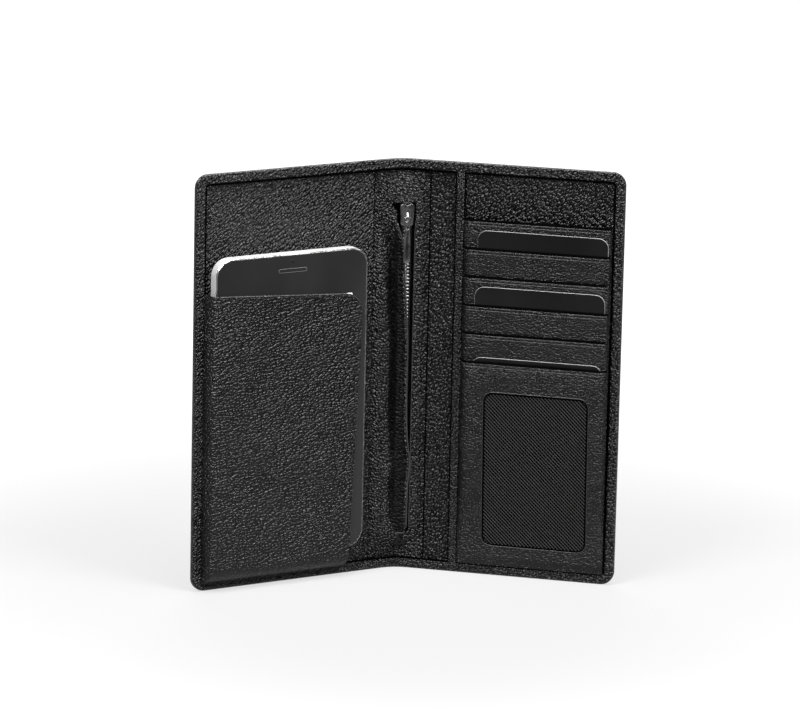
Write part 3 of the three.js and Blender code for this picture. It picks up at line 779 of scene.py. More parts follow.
def ring_sheet(name, inner, outer, face, thickness, material, steps):
    """A closed sheet with a hole, between two loops with the same number of points."""
    half = thickness / 2
    count = len(inner)
    inner_out, outer_out = loop_normals(inner), loop_normals(outer)
    a, b = inner + inner_out * half, outer - outer_out * half
    share = np.linspace(0, 1, steps + 1)
    flat = (a[None] * (1 - share)[:, None, None] + b[None] * share[:, None, None]).reshape(-1, 2)
    top = face(flat[:, 0], flat[:, 1])
    verts = [fold(flat[:, 0], top, flat[:, 1]), fold(flat[:, 0], top - thickness, flat[:, 1])]
    total = count * (steps + 1)
    number = numbered(steps + 1, count)
    faces = bands(number) + bands(number[::-1] + total)
    for loop, base, outward in ((inner, number[0], -inner_out), (outer, number[-1], outer_out)):
        rims = numbered(RIM_STEPS - 1, count, sum(len(v) for v in verts))
        verts += half_round(loop, outward, face(flat[base, 0], flat[base, 1]) - half, half)
        faces += bands([base, *rims, base + total])
    return new_piece(name, np.concatenate(verts), faces, material)


def window_box():
    """The ID window's opening in (c, z), read from the window panel's inner loop."""
    u, _, z = cover_points("id_window_panel", RIGHT).T
    low, high = cover_box("id_window_panel", RIGHT)
    margin = 3 * MM
    inside = (u > low[0] + margin) & (u < high[0] - margin) & (z > low[2] + margin) & (z < high[2] - margin)
    return FOLD_C + u[inside].min(), FOLD_C + u[inside].max(), z[inside].min(), z[inside].max()


WINDOW_RADIUS = 5.4 * MM


def add_window():
    height, start, end, low, high = stack_height("id_window_panel", len(SLOT_NODES))
    c0, c1, z0, z1 = window_box()
    inner = rounded_loop(c0, c1, z0, z1, WINDOW_RADIUS, 26, 7)
    outer = rounded_loop(start, end, low[2], high[2], 0.3 * MM, 26, 7)
    pressed = hemmed(height, high[2])

    def face(c_at, z_at):
        bottom = ease((z_at - low[2]) / (6 * MM))
        sewn = INNER_FACE + 0.75 * MM
        bulge = 0.6 * MM * ease((z_at - low[2] - 8 * MM) / (40 * MM)) * ease((high[2] - z_at) / (8 * MM))
        bulge = bulge * ease((c_at - start) / (8 * MM)) * ease((end - c_at) / (6 * MM))
        return sewn + (pressed(c_at, z_at) - sewn) * (0.35 + 0.65 * bottom) + bulge

    piece = ring_sheet("id_window_leather", inner, outer, face, SLOT_THICKNESS, SLOT, steps=20)
    settle(piece, "right_cover", "inner_leather", "id_window_panel")
    add_mouth("id_window", face, start, end, high[2])
    loop = np.concatenate([inner, inner[:1]])
    outward = loop_normals(inner)
    outward = np.concatenate([outward, outward[:1]])
    # The cut edge is a bead of lighter rim leather, painted highlight; the shade is a dark tube of painted
    # shade just inside the opening.
    for part, shift, sunk, half_width, half_height, material in (
            ("cut_edge", 0.2, 0.0, 0.26, 0.16, HIGHLIGHT_RIM), ("shade", -0.5, 0.2, 0.5, 0.08, PAINTED_SHADE)):
        path = loop + outward * shift * MM
        placed = on_leather(path, face(path[:, 0], path[:, 1]) - sunk * MM)
        edge = tube(f"id_window_{part}", placed, half_width * MM, half_height * MM, material)
        settle(edge, "right_cover", "inner_leather")
    add_weave(c0, c1, z0, z1, face)


THREAD_PITCH = 1.5 * MM


def add_weave(c0, c1, z0, z1, face):
    """Diagonal plain weave: flat threads in two directions, each over one and under the next."""
    margin = 1.2 * MM
    lo, hi = np.array([c0 - margin, z0 - margin]), np.array([c1 + margin, z1 + margin])
    centre = (lo + hi) / 2
    reach = np.linalg.norm(hi - lo) / 2
    verts, faces = [], []
    lines_each_way = int(reach / THREAD_PITCH)
    step = THREAD_PITCH / 2
    for family, (angle, width, rise) in enumerate(((math.radians(45), 0.16 * MM, -0.1 * MM),
                                                   (math.radians(-45), 0.56 * MM, 0.08 * MM))):
        along = np.array([math.cos(angle), math.sin(angle)])
        across = np.array([-along[1], along[0]])
        for k in range(-lines_each_way, lines_each_way + 1):
            number = np.arange(-2 * lines_each_way, 2 * lines_each_way + 1)
            points = centre + across * k * THREAD_PITCH + (number * step)[:, None] * along
            inside = np.all((points > lo) & (points < hi), axis=1)
            if inside.sum() < 3:
                continue
            over = np.where((number // 2 + k + family) % 2 == 0, 1.0, -1.0)
            lift = np.where(number % 2 == 0, over, 0.0)[inside]
            points = points[inside]
            base = face(points[:, 0], points[:, 1]) - 0.36 * MM + rise + 0.04 * MM * lift
            first = sum(len(v) for v in verts)
            for shift, drop in ((-0.5, -0.12), (-0.2, 0.0), (0.2, 0.0), (0.5, -0.12)):
                at = points + across * shift * width
                verts.append(fold(at[:, 0], base + drop * MM, at[:, 1]))
            faces += grid_faces(4, len(points), first)
    piece = new_piece("id_window_weave", np.concatenate(verts), faces, WEAVE, recalculate=False)
    settle(piece, "right_cover", "window_mesh", "id_window_mesh")

    def backing(c_at, z_at):
        return face(c_at, z_at) - 0.55 * MM

    grid = flat_grid(lines(lo[0], hi[0], 5 * MM), lines(lo[1], hi[1], 5 * MM))
    sheet = leather_sheet("id_window_backing", grid, backing, 0.1 * MM, BACKING)
    settle(sheet, "right_cover", "window_mesh")


add_slots()
add_window()

# ---- Cards and phone: slabs with a profiled edge ----


def slab(name, loop, profile, place, materials, kinds):
    """A slab: its outline (closed loop in (u, z)), a profile of (inset, n) in mm from the front's middle to
    the back's, and which material each band of the profile has."""
    outward = loop_normals(loop)
    count = len(loop)
    verts = []
    for inset, n in profile:
        ring = loop - outward * inset * MM
        verts.append(place(ring[:, 0], np.full(count, n * MM), ring[:, 1]))
    number = numbered(len(profile), count)
    piece = new_piece(name, np.concatenate(verts), bands(number) + [number[0][::-1], number[-1]], *materials)
    piece.data.polygons.foreach_set("material_index", list(np.repeat(kinds, count)) + [kinds[0], kinds[-1]])
    return piece


def add_card(number):
    node = f"card_{number}"
    low, high = cover_box(node, RIGHT)
    thickness = 0.8 * MM
    slope = (high[1] - low[1] - thickness) / (high[2] - low[2])
    loop = rounded_loop(FOLD_C + low[0], FOLD_C + high[0], low[2], high[2], 5.5 * MM, 6, 8)

    def place(c, n, z):
        return fold(c, high[1] - slope * (high[2] - z) + n, z)

    profile = [(0.35, 0), (0.12, -0.02), (0, -0.14), (0, -0.66), (0.12, -0.78), (0.35, -0.8)]
    piece = slab(node + "_blank", loop, profile, place, [CARD, CARD_EDGE], [0, 1, 1, 1, 0])
    sharpen(piece)
    settle(piece, node, "card", node)


for card_number in (1, 2, 3):
    add_card(card_number)


def add_phone():
    low, high = cover_box("phone_case", LEFT)
    front = cover_box("phone_glass", LEFT)[1][1]
    back = (low[1] - front) / MM
    radius, inset = 10 * MM, 0.95 * MM
    middle, top = (low[0] + high[0]) / 2, high[2]

    def place(u, n, z):
        return fold(-(FOLD_C + u), front + n, z)

    loop = rounded_loop(low[0], high[0], low[2], high[2], radius, 6, 12)
    profile = [(2.0, -0.55), (0.75, -0.45), (0.7, -0.3), (0.15, -0.85), (0, -1.05), (0, back + 1.0),
               (0.15, back + 0.75), (0.7, back + 0.1), (1.2, back)]
    body = slab("phone_body", loop, profile, place, [CASE, CHAMFER], [0, 0, 1, 0, 0, 0, 1, 0])
    sharpen(body, 20)
    settle(body, "phone", "phone_case", "phone_case")
    loop = rounded_loop(low[0] + inset, high[0] - inset, low[2] + inset, high[2] - inset, radius - inset,
                        6, 12)
    profile = [(0.5, 0), (0.18, -0.04), (0, -0.22), (0, -0.6)]
    glass = slab("phone_front_glass", loop, profile, place, [GLASS], [0, 0, 0])
    sharpen(glass)
    settle(glass, "phone", "phone_glass", "phone_glass")
    for name, centre, below, half_width, half_height, corner, steps, profile, material in (
            ("earpiece", middle, 9.3, 9, 1.3, 1.25, (4, 5), [(0.5, -0.02), (0.25, 0.06), (0, -0.1)], GRILLE),
            ("lens", middle, 4.5, 1.1, 1.1, 1.09, (1, 8), [(0.6, 0.03), (0.2, 0.05), (0, -0.1)], SENSOR),
            # The last patch is a painted glint, a reflection on the glass.
            ("glint_patch", low[0] + 12 * MM, 26.2, 2.4, 1, 0.8, (3, 4),
             [(0.3, 0.08), (0.1, 0.07), (0, -0.05)], PAINTED_GLINT)):
        z = top - below * MM
        loop = rounded_loop(centre - half_width * MM, centre + half_width * MM, z - half_height * MM,
                            z + half_height * MM, corner * MM, *steps)
        settle(slab(f"phone_{name}", loop, profile, place, [material], [0, 0]), "phone", "phone_glass")


add_phone()

# ---- Phone pocket: one moulded leather shell, open at the top and on the spine side ----

POCKET_TOP_CORNER = 11 * MM
POCKET_SIDE_ROUND = 3.4 * MM
POCKET_FLOOR_ROUND = 11 * MM


def pocket_edge(z, edge_top, corner_start):
    """The free edge on the spine side: a slow slant that ends in the rounded top corner."""
    slant = edge_top + 5.2 * MM * ((corner_start - np.minimum(z, corner_start)) / (120 * MM)) ** 1.1
    above = np.clip((z - corner_start) / POCKET_TOP_CORNER, 0, 1)
    return slant + POCKET_TOP_CORNER * (1 - np.sqrt(np.maximum(0, 1 - above ** 2)))


def pocket_grid(inner, bottom, edge_top, top_outer):
    """(u, z) over the pocket's leather, denser at its edge, side wall, floor and top corner."""
    top_inner = top_outer - 6 * MM
    corner_start = top_inner - POCKET_TOP_CORNER
    quarter = np.linspace(0, math.pi / 2, 12)
    z_floor = bottom + POCKET_FLOOR_ROUND * (1 - np.cos(quarter))
    z_arc = corner_start + POCKET_TOP_CORNER * np.sin(quarter)
    z_rows = np.concatenate([z_floor, np.linspace(z_floor[-1], z_arc[0], 46)[1:-1], z_arc])
    from_edge = np.concatenate([[0, 0.008, 0.018], np.linspace(0.04, 1, 33)])
    start = pocket_edge(z_rows, edge_top, corner_start)[:, None]
    flat = start + (inner - POCKET_SIDE_ROUND - start) * from_edge
    rounded = inner - POCKET_SIDE_ROUND * (1 - np.cos(quarter[-2::-1]))
    u = np.concatenate([flat, np.broadcast_to(rounded, (len(z_rows), len(rounded)))], axis=1)
    rise = (top_outer - top_inner) * (u - edge_top) / (inner - edge_top)
    return u, z_rows[:, None] + rise * ease((z_rows - (top_inner - 60 * MM)) / (60 * MM))[:, None]


def add_pocket():
    low, high = cover_box("phone_pocket_front", LEFT)
    inner, bottom = COVER_END - BORDER + 0.6 * MM, BORDER - 0.6 * MM
    base = EDGE_FACE - 1.0 * MM
    thickness = 1.0 * MM
    u, z = pocket_grid(inner, bottom, low[0], high[2])
    both = dome((inner - u) / POCKET_SIDE_ROUND) * dome((z - bottom) / POCKET_FLOOR_ROUND)
    soft = 0.35 * MM * (0.5 + 0.5 * ripple(u, z, 38 * MM, 9.3)) * both
    n = base + (high[1] - base) * both + soft
    front = fold(-(FOLD_C + u), n, z)
    normal = unit(np.cross(np.gradient(front, axis=1), np.gradient(front, axis=0)))
    if np.mean(normal[..., 1]) > 0:
        normal = -normal
    back = front - normal * thickness

    rows, columns = u.shape
    count = rows * columns
    loop = boundary(rows, columns)
    loop_normal = normal.reshape(-1, 3)[loop]
    middle = ((front + back) / 2).reshape(-1, 3)[loop]
    outward = unit(np.cross(np.roll(middle, -1, axis=0) - np.roll(middle, 1, axis=0), loop_normal))
    if np.mean(np.sum(outward * (middle - front.reshape(-1, 3).mean(0)), axis=1)) < 0:
        outward = -outward
    verts = [front.reshape(-1, 3), back.reshape(-1, 3)]
    for k in range(1, RIM_STEPS):
        angle = math.pi * k / RIM_STEPS
        toward_front = loop_normal * (thickness / 2 * math.cos(angle))
        verts.append(middle + toward_front + outward * (thickness * 0.38 * math.sin(angle)))
    faces = grid_faces(rows, columns) + [f[::-1] for f in grid_faces(rows, columns, count)]
    faces += bands([loop, *numbered(RIM_STEPS - 1, len(loop), 2 * count), loop + count])
    piece = new_piece("phone_pocket_leather", np.concatenate(verts), faces, POCKET)
    settle(piece, "left_cover", "inner_leather", "phone_pocket_front", "phone_pocket_side_wall",
           "phone_pocket_floor")
    add_pocket_edge(u, z, n, front, normal)


def add_pocket_edge(u, z, n, front, normal):
    """Stitches and the round folded edge, both up the spine side and along the top."""
    rows = len(u)
    at = tuple(np.array([(i, 2) for i in range(14, rows - 4)] + [(rows - 4, j) for j in range(3, 36)]).T)
    path = np.stack([-(FOLD_C + u[at]), z[at]], axis=1)
    row = stitch_row("phone_pocket_stitches", path, n[at] - 0.05 * MM, radius=0.24 * MM)
    settle(row, "left_cover", "inner_leather")
    # The folded edge is a bead of the lighter rim leather: painted highlight.
    at = tuple(np.array([(i, 0) for i in range(14, rows)] + [(rows - 1, j) for j in range(1, 35)]).T)
    placed = front[at] - 0.2 * MM * normal[at], normal[at]
    bead = tube("phone_pocket_folded_edge", placed, 0.42 * MM, 0.34 * MM, HIGHLIGHT_RIM)
    settle(bead, "left_cover", "inner_leather")


add_pocket()

# ---- Spine: zip panel in two halves, coin pocket, zip ----

SLOT_LOW = 20.5 * MM
SLOT_HIGH = 211.4 * MM
ZIP_X = (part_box("zip_slider")[0].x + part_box("zip_slider")[1].x) / 2
ZIP_COVER_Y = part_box("zip_teeth_left")[0].y - 0.5 * MM
SEAM_X = 4.6 * MM
PANEL_END_X = 19.3 * MM


def left_lip_line(z):
    """The zip slot's left lip: nearly straight, pushed aside by the slider near its upper end."""
    line = 5.8 * MM - 1.4 * MM * ease((z - 55 * MM) / (45 * MM))
    line = line + 1.2 * MM * np.exp(-(((z - 62 * MM) / (9 * MM)) ** 2))
    line = line - 2.6 * MM * ease((z - 125 * MM) / (55 * MM))
    return line - 4.9 * MM * ease((z - 183 * MM) / (20 * MM))


def lip_x(side, z):
    """Where each lip of the zip slot lies across at height z, and how open the slot is there."""
    if side == RIGHT:
        lip = 8.0 * MM + 0.6 * MM * ease((z - 194 * MM) / (10 * MM))
    else:
        lip = left_lip_line(z) - 3.4 * MM * ease((z - 206 * MM) / (5 * MM))
    ends = dome((z - SLOT_LOW) / (3.5 * MM)) * dome((SLOT_HIGH - z) / (1.6 * MM))
    inside = (z > SLOT_LOW) & (z < SLOT_HIGH)
    return np.where(inside, SEAM_X + (lip - SEAM_X) * ends, SEAM_X), np.where(inside, ends, 0)


def arc_depth(x, n):
    """Depth y of the leather's arc, n above its middle."""
    radius = ARC_RADIUS - n
    turn = radius * math.sin(TILT)
    on_arc = ARC_CENTRE_Y + np.sqrt(np.maximum(radius ** 2 - x ** 2, 0))
    straight = ARC_CENTRE_Y + radius * math.cos(TILT) - (np.abs(x) - turn) * math.tan(TILT)
    return np.where(np.abs(x) < turn, on_arc, straight)


def zip_panel_depth(x, z):
    """Depth y of the zip panel: level round the slot, with a deep fold left of the left lip, and never
    behind the front of the zip that it covers."""
    flat = arc_depth(x, 2.1 * MM - 0.6 * MM * ease((np.abs(x) - 13 * MM) / (3 * MM)))
    lip = left_lip_line(z)
    along = ease((z - 24 * MM) / (22 * MM)) * ease((214 * MM - z) / (26 * MM))
    level = -4.2 * MM
    level = level - 1.4 * MM * np.exp(-(((x - lip) / (1.6 * MM)) ** 2)) * along
    level = level + 4.4 * MM * np.exp(-(((x - lip + 6.3 * MM) / (2.9 * MM)) ** 2)) * along
    creased = ease((z - 206 * MM) / (6 * MM)) * ease((228 * MM - z) / (10 * MM))
    level = level - 0.8 * MM * ripple(x - 0.6 * z, 0.4 * z, 3.6 * MM, 2.7) * creased
    level = level - 0.35 * MM * ripple(x, z * 0.5, 5 * MM, 6.1)
    over_zip = ease((x - ZIP_X + 6.2 * MM) / (2.6 * MM))
    level = level + (np.minimum(level, ZIP_COVER_Y) - level) * over_zip
    level = level + (flat - level) * ease((np.abs(x) - 11 * MM) / (4.6 * MM))
    ends = ease((z - BORDER) / (20 * MM)) * ease((HEIGHT - BORDER - z) / (17 * MM))
    return flat + (level - flat) * ends


LIP_RADIUS = 0.6 * MM


def shade_fold(mesh):
    """Gives the valley left of the left lip a darker, duller leather: painted shade."""
    x, _, z = np.array([p.center for p in mesh.polygons]).T
    reach = 8.6 * MM * ease((205 * MM - z) / (40 * MM)) * ease((z - 12 * MM) / (20 * MM))
    beyond = left_lip_line(z) - x - 1.0 * MM
    mesh.polygons.foreach_set("material_index", ((beyond > 0) & (beyond < reach)).astype(int))


def zip_panel_half(side):
    start_x = side * PANEL_END_X
    z_rows = np.concatenate([
        np.linspace(BORDER - PANEL_TUCK, SLOT_LOW - 0.4 * MM, 12),
        SLOT_LOW + 3.5 * MM * (1 - np.cos(np.linspace(0, math.pi / 2, 8))),
        np.linspace(SLOT_LOW + 3.5 * MM, SLOT_HIGH - 1.6 * MM, 110)[1:],
        SLOT_HIGH - 1.6 * MM * (1 - np.cos(np.linspace(math.pi / 2, 0, 6)[1:])),
        np.linspace(SLOT_HIGH + 0.3 * MM, HEIGHT - BORDER + PANEL_TUCK, 24)])
    share = np.linspace(0, 1, 44) ** 0.9
    lip, open_ = lip_x(side, z_rows)
    x = start_x + (lip[:, None] - start_x) * share
    z = np.broadcast_to(z_rows[:, None], x.shape)
    grid = np.stack([x, zip_panel_depth(x, z), z], axis=-1)
    roll = []
    for k in range(1, 8):
        angle = min(math.pi * k / 6, math.pi)
        under = 1.4 * MM if k == 7 else 0
        strip = grid[:, -1].copy()
        strip[:, 0] += -side * (LIP_RADIUS * math.sin(angle) - under) * open_
        strip[:, 1] += LIP_RADIUS * (1 - math.cos(angle)) * open_
        roll.append(strip)
    whole = np.concatenate([grid, np.stack(roll, axis=1)], axis=1)
    piece = new_piece(f"zip_panel_{side_name(side)}_half", whole, grid_faces(*whole.shape[:2]), ZIP_LEATHER,
                      PAINTED_FOLD_SHADE, recalculate=False)
    if np.mean([p.normal.y for p in piece.data.polygons]) > 0:
        piece.data.flip_normals()
    if side == LEFT:
        shade_fold(piece.data)
        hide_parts("zip_panel")
    bend_at_hinge(piece, side)


def add_lip_edge(side, half_width):
    """A lighter, glossier bead along the edge of one lip of the zip slot: painted highlight."""
    z = np.linspace(SLOT_LOW + 4 * MM, SLOT_HIGH - 12 * MM, 130)
    x = lip_x(side, z)[0] - side * 0.35 * MM
    points = np.stack([x, zip_panel_depth(x, z) + 0.05 * MM, z], axis=1)
    placed = points, np.tile((0.0, -1.0, 0.0), (len(z), 1))
    edge = tube(f"zip_lip_edge_{side_name(side)}", placed, half_width, 0.4 * MM, LIP_HIGHLIGHT, sides=12)
    settle(edge, "spine", "inner_leather")


def add_spine_cloths():
    for name, node, half, n, thickness in (
            ("spine_lining_cloth", "spine_lining", 8.5 * MM, 0.75 * MM, 0.2 * MM),
            ("coin_pocket_cloth", "coin_pocket_bag", 8 * MM, 1.5 * MM, 0.6 * MM)):
        low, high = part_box(node)
        grid = flat_grid(lines(-half, half, 1.2 * MM), lines(low.z, high.z, 6 * MM))
        piece = leather_sheet(name, grid, lambda c, z, n=n: n + 0 * c, thickness, LINING)
        settle(piece, "spine", "lining", node)


def add_slot_stitches():
    z = np.linspace(SLOT_LOW - 3 * MM, SLOT_HIGH + 2 * MM, 90)
    x = np.full_like(z, 10.8 * MM)
    c, n = spine_place(x, zip_panel_depth(x, z))
    settle(stitch_row("zip_panel_stitches", np.stack([c, z], axis=1), n), "spine", "inner_leather")


def add_tapes():
    for side in (LEFT, RIGHT):
        node = f"zip_tape_{side_name(side)}"
        low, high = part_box(node)
        middle = (ZIP_X + side * 1.7 * MM, (low.y + high.y) / 2, (low.z + high.z) / 2)
        piece = blocks(node + "_cloth", (2.6 * MM, high.y - low.y, high.z - low.z), 0.12 * MM, [middle], TAPE)
        settle(piece, "spine", "zip_tape", node)


zip_panel_half(LEFT)
zip_panel_half(RIGHT)
add_spine_cloths()
add_lip_edge(LEFT, 0.42 * MM)
add_lip_edge(RIGHT, 0.25 * MM)
add_tapes()
add_slot_stitches()


def add_zip():
    low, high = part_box("zip_teeth_left")
    pitch = 2 * MM
    for side in (LEFT, RIGHT):
        name = side_name(side)
        first = low.z + 0.7 * MM + (0 if side == LEFT else pitch / 2)
        heights = np.arange(first, high.z - 0.5 * MM, pitch)
        places = [(ZIP_X + side * 0.75 * MM, low.y + 0.5 * MM, z) for z in heights]
        teeth = blocks(f"zip_teeth_row_{name}", (2.3 * MM, 1.0 * MM, 0.95 * MM), 0.22 * MM, places, NICKEL)
        sharpen(teeth, 50)
        settle(teeth, "spine", "zip_metal", f"zip_teeth_{name}")
        middle = (ZIP_X + side * 2.2 * MM, low.y + 0.6 * MM, (low.z + high.z) / 2)
        cord = blocks(f"zip_cord_{name}", (0.9 * MM, 0.8 * MM, high.z - low.z), 0.3 * MM, [middle], TAPE)
        sharpen(cord, 50)
        settle(cord, "spine", "zip_tape")
    for node in ("zip_top_stop", "zip_bottom_stop"):
        low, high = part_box(node)
        stop = blocks(node + "_clamp", high - low, 0.3 * MM, [(low + high) / 2], DARK_NICKEL, segments=3)
        sharpen(stop, 50)
        settle(stop, "spine", "zip_metal", node)


add_zip()


def prism(outline, y_front, y_back, bevel, material, name, holes=()):
    """A plate: an outline in (x, z) between two depths, with rounded edges."""
    builder = bmesh.new()
    edges = []
    for loop in [outline, *holes]:
        ring = [builder.verts.new((x, y_front, z)) for x, z in loop]
        edges += [builder.edges.new((ring[i], ring[(i + 1) % len(ring)])) for i in range(len(ring))]
    filled = bmesh.ops.triangle_fill(builder, edges=edges, use_beauty=True)
    flat = [g for g in filled["geom"] if isinstance(g, bmesh.types.BMFace)]
    pushed = bmesh.ops.extrude_face_region(builder, geom=flat)
    moved = [g for g in pushed["geom"] if isinstance(g, bmesh.types.BMVert)]
    bmesh.ops.translate(builder, vec=(0, y_back - y_front, 0), verts=moved)
    bmesh.ops.recalc_face_normals(builder, faces=builder.faces)
    sharp = [e for e in builder.edges if len(e.link_faces) == 2 and e.calc_face_angle() > math.radians(50)]
    bmesh.ops.bevel(builder, geom=sharp, offset=bevel, segments=3, affect="EDGES", profile=0.5,
                    clamp_overlap=True)
    mesh = bpy.data.meshes.new(name)
    builder.to_mesh(mesh)
    builder.free()
    mesh.materials.append(material)
    piece = add_object(name, mesh)
    sharpen(piece, 35)
    return piece


def arc_points(cx, cz, radius, start, end, count):
    return [(cx + radius * math.cos(math.radians(a)), cz + radius * math.sin(math.radians(a)))
            for a in np.linspace(start, end, count)]


def add_slider():
    low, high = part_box("zip_slider")
    pivot = Vector(JOINTS["puller_swing"]["pos_m"])
    plate_front = pivot.y + 0.8 * MM
    plate_back = plate_front + 1.2 * MM
    half_top, half_tail = 3.9 * MM, 3.2 * MM
    top, bottom = high.z, low.z
    outline = arc_points(ZIP_X - half_top + 1.5 * MM, top - 1.5 * MM, 1.5 * MM, 180, 100, 6)
    outline += [(ZIP_X + x * MM, top + z * MM) for x, z in ((-0.8, -0.5), (0, -0.9), (0.8, -0.5))]
    outline += arc_points(ZIP_X + half_top - 1.5 * MM, top - 1.5 * MM, 1.5 * MM, 80, 0, 6)
    outline += [(ZIP_X + half_top - 0.2 * MM, top - 5.5 * MM)]
    outline += arc_points(ZIP_X + half_tail - 1 * MM, bottom + 1 * MM, 1 * MM, 0, -90, 5)
    outline += arc_points(ZIP_X - half_tail + 1 * MM, bottom + 1 * MM, 1 * MM, -90, -180, 5)
    outline += [(ZIP_X - half_top + 0.2 * MM, top - 5.5 * MM)]
    plate = prism(outline, plate_front, plate_back, 0.42 * MM, NICKEL, "zip_slider_plate")
    settle(plate, "zip_slider", "zip_metal", "zip_slider")
    middles = [(ZIP_X + side * 3.1 * MM, plate_back + 0.9 * MM, (top + bottom) / 2)
               for side in (LEFT, RIGHT)]
    flanges = blocks("zip_slider_flanges", (0.6 * MM, 2.4 * MM, 11.4 * MM), 0.15 * MM, middles, NICKEL)
    sharpen(flanges, 50)
    settle(flanges, "zip_slider", "zip_metal")
    half_crown = 3 * MM
    angles = np.linspace(0.12, math.pi - 0.12, 15)
    y = plate_front - (plate_front - low.y) * np.concatenate([[0], np.sin(angles), [0]])
    z = pivot.z - half_crown * np.concatenate([[1], np.cos(angles), [-1]])
    placed = np.stack([np.full_like(y, ZIP_X), y, z], axis=1), np.tile((-1.0, 0.0, 0.0), (len(y), 1))
    crown = tube("zip_slider_crown", placed, 0.4 * MM, 0.62 * MM, NICKEL, sides=10)
    settle(crown, "zip_slider", "zip_metal")


def add_puller():
    low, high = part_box("zip_puller")
    half = (high.x - low.x) / 2
    top, bottom = high.z, low.z
    outline = arc_points(ZIP_X - half + 0.8 * MM, top - 0.8 * MM, 0.8 * MM, 180, 90, 5)
    outline += arc_points(ZIP_X + half - 0.8 * MM, top - 0.8 * MM, 0.8 * MM, 90, 0, 5)
    outline += [(ZIP_X + half - 0.45 * MM, top - 8 * MM), (ZIP_X + half - 0.1 * MM, top - 12 * MM)]
    outline += arc_points(ZIP_X + half - 1.0 * MM, bottom + 1.0 * MM, 1.0 * MM, 0, -90, 5)
    outline += arc_points(ZIP_X - half + 1.0 * MM, bottom + 1.0 * MM, 1.0 * MM, -90, -180, 5)
    outline += [(ZIP_X - half + 0.1 * MM, top - 12 * MM), (ZIP_X - half + 0.45 * MM, top - 8 * MM)]
    eye = arc_points(ZIP_X, top - 1.9 * MM, 0.95 * MM, 0, 180, 7)
    eye += arc_points(ZIP_X, top - 6.0 * MM, 0.95 * MM, 180, 360, 7)
    inset = 1.05 * MM
    window = arc_points(ZIP_X, top - 11.2 * MM, half - inset, 0, 180, 7)
    window += arc_points(ZIP_X, bottom + 2.2 * MM, half - inset, 180, 360, 7)
    plate = prism(outline, low.y, high.y, 0.28 * MM, NICKEL, "zip_puller_plate", holes=[eye])
    recess = prism(window, low.y - 0.06 * MM, low.y + 0.2 * MM, 0.05 * MM, DARK_NICKEL, "zip_puller_inlay")
    settle(plate, "zip_puller", "zip_metal", "zip_puller")
    settle(recess, "zip_puller", "zip_metal")


add_slider()
add_puller()

# ---- CAD nodes that stay: the hidden layers ----

for layer, look in (("stiffener_board", BOARD), ("lining", LINING)):
    for layer_side in (LEFT, RIGHT):
        node_mesh = frame["nodes"][f"{side_name(layer_side)}_{layer}"].data
        node_mesh.materials.clear()
        node_mesh.materials.append(look)

# ---- Studio and camera ----

# How brightly the table glows right by the wallet, dimmer than further away: a painted shadow.
PAINTED_SHADOW_GLOW = 0.63
CAMERA_AZIMUTH = -7.78
CAMERA_ELEVATION = 13.27
CAMERA_ROLL = math.radians(1.22)
CAMERA_DISTANCE = 2.806
CAMERA_TARGET = Vector((1.98 * MM, 4.68 * MM, 119.46 * MM))
LENS = 225
TABLE_FRONT = 0.45
TABLE_REACH = 2.5
TABLE_SHINE = 0.5
SURROUND_REACH = 12
BACKDROP_RADIUS = 11


def toward(azimuth, elevation):
    """The direction at an angle to the right of the front and an angle above the table, in degrees."""
    a, e = math.radians(azimuth), math.radians(elevation)
    return Vector((math.sin(a) * math.cos(e), -math.cos(a) * math.cos(e), math.sin(e)))


def add_camera():
    data = bpy.data.cameras.new("camera")
    data.lens = LENS
    data.sensor_width = 36
    data.clip_start, data.clip_end = 0.05, 60
    camera = add_object("camera", data)
    back = toward(CAMERA_AZIMUTH, CAMERA_ELEVATION)
    camera.location = CAMERA_TARGET + back * CAMERA_DISTANCE
    aim = (-back).to_track_quat("-Z", "Y").to_matrix()
    camera.rotation_euler = (aim @ Matrix.Rotation(CAMERA_ROLL, 3, "Z")).to_euler()
    bpy.context.scene.camera = camera


def area_light(name, azimuth, elevation, distance, size, power):
    data = bpy.data.lights.new(name, "AREA")
    data.shape = "RECTANGLE"
    data.size, data.size_y = size
    data.energy = power
    light = add_object(name, data)
    away = toward(azimuth, elevation)
    light.location = Vector((0, 0, HEIGHT / 2)) + away * distance
    light.rotation_euler = away.to_track_quat("Z", "Y").to_euler()


def glowing(name, strength):
    material = bpy.data.materials.new(name)
    material.use_nodes = True
    tree = material.node_tree
    tree.nodes.clear()
    glow = tree.nodes.new("ShaderNodeEmission")
    glow.inputs["Color"].default_value = (1, 1, 1, 1)
    glow.inputs["Strength"].default_value = strength
    output = tree.nodes.new("ShaderNodeOutputMaterial")
    tree.links.new(glow.outputs[0], output.inputs[0])
    return material


def hide_from(piece, *rays):
    for ray in rays:
        setattr(piece, f"visible_{ray}", False)


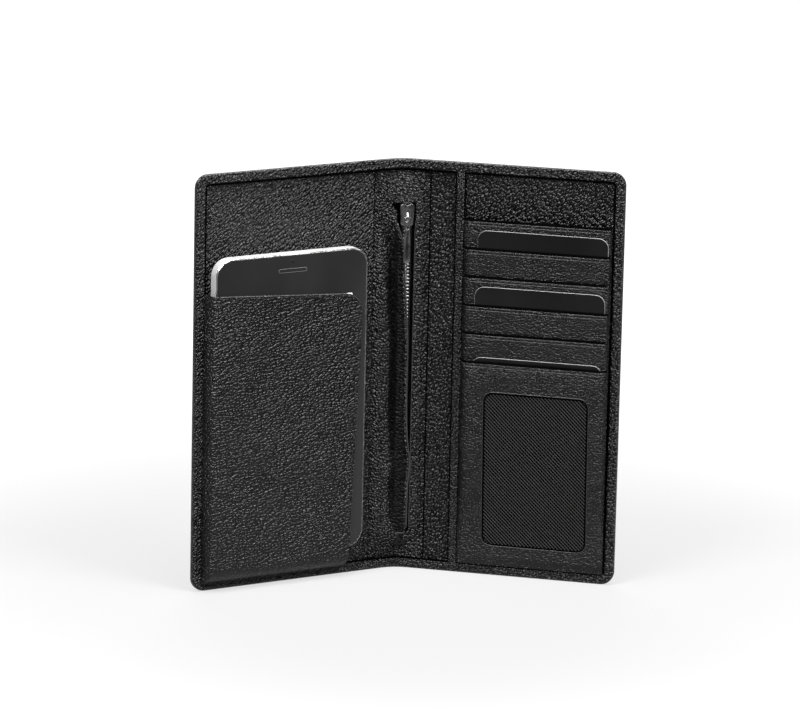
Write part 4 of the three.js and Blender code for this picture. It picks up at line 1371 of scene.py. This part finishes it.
def level_plane(name, reach, front, z, material):
    mesh = bpy.data.meshes.new(name)
    corners = [(-reach, -front, z), (reach, -front, z), (reach, reach, z), (-reach, reach, z)]
    mesh.from_pydata(corners, [], [(0, 1, 2, 3)])
    mesh.materials.append(material)
    return add_object(name, mesh)


def table_material():
    """White, and a little dimmer near the wallet: a painted shadow."""
    s = Shader("floor_painted_shadow_look")
    away = s.node("ShaderNodeVectorMath", {"operation": "LENGTH"}, _0=s.place).outputs["Value"]
    s.set(Base_Color=grey(0.12), Roughness=0.9, Specular_IOR_Level=0.05, Emission_Color=grey(1.0),
          Emission_Strength=s.range(away, 0.16, 0.6, PAINTED_SHADOW_GLOW, 1.0))
    return s.material


def add_studio():
    """A white table and backdrop, of which the leather mirrors only a dimmer table and the softboxes."""
    table = level_plane("table", TABLE_REACH, TABLE_FRONT, 0, table_material())
    hide_from(table, "glossy")
    shine = level_plane("table_shine", TABLE_REACH, TABLE_FRONT, -0.1 * MM,
                        glowing("table_shine_look", TABLE_SHINE))
    hide_from(shine, "camera", "diffuse", "shadow")
    surround = level_plane("surround", SURROUND_REACH, SURROUND_REACH, -0.2 * MM,
                           glowing("surround_look", 1.0))
    hide_from(surround, "glossy", "diffuse")
    builder = bmesh.new()
    bmesh.ops.create_uvsphere(builder, u_segments=48, v_segments=24, radius=BACKDROP_RADIUS)
    mesh = bpy.data.meshes.new("backdrop")
    builder.to_mesh(mesh)
    builder.free()
    mesh.materials.append(glowing("backdrop_look", 1.0))
    backdrop = add_object("backdrop", mesh)
    hide_from(backdrop, "diffuse", "glossy", "shadow")


def add_lights():
    world = bpy.data.worlds.new("world")
    bpy.context.scene.world = world
    world.use_nodes = True
    world.node_tree.nodes["Background"].inputs[0].default_value = (1, 1, 1, 1)
    world.node_tree.nodes["Background"].inputs[1].default_value = 0.01
    area_light("left_softbox", -48, 46, 1.6, (0.7, 0.7), 26)
    area_light("right_softbox", 46, 46, 1.6, (0.7, 0.7), 26)
    area_light("top_softbox", 0, 78, 1.5, (0.9, 0.7), 26)
    area_light("rear_softbox", 180, 35, 1.8, (1.6, 1.0), 26)
    bpy.context.scene.view_settings.view_transform = "Standard"
    bpy.context.scene.view_settings.look = "None"


add_camera()
add_studio()
add_lights()
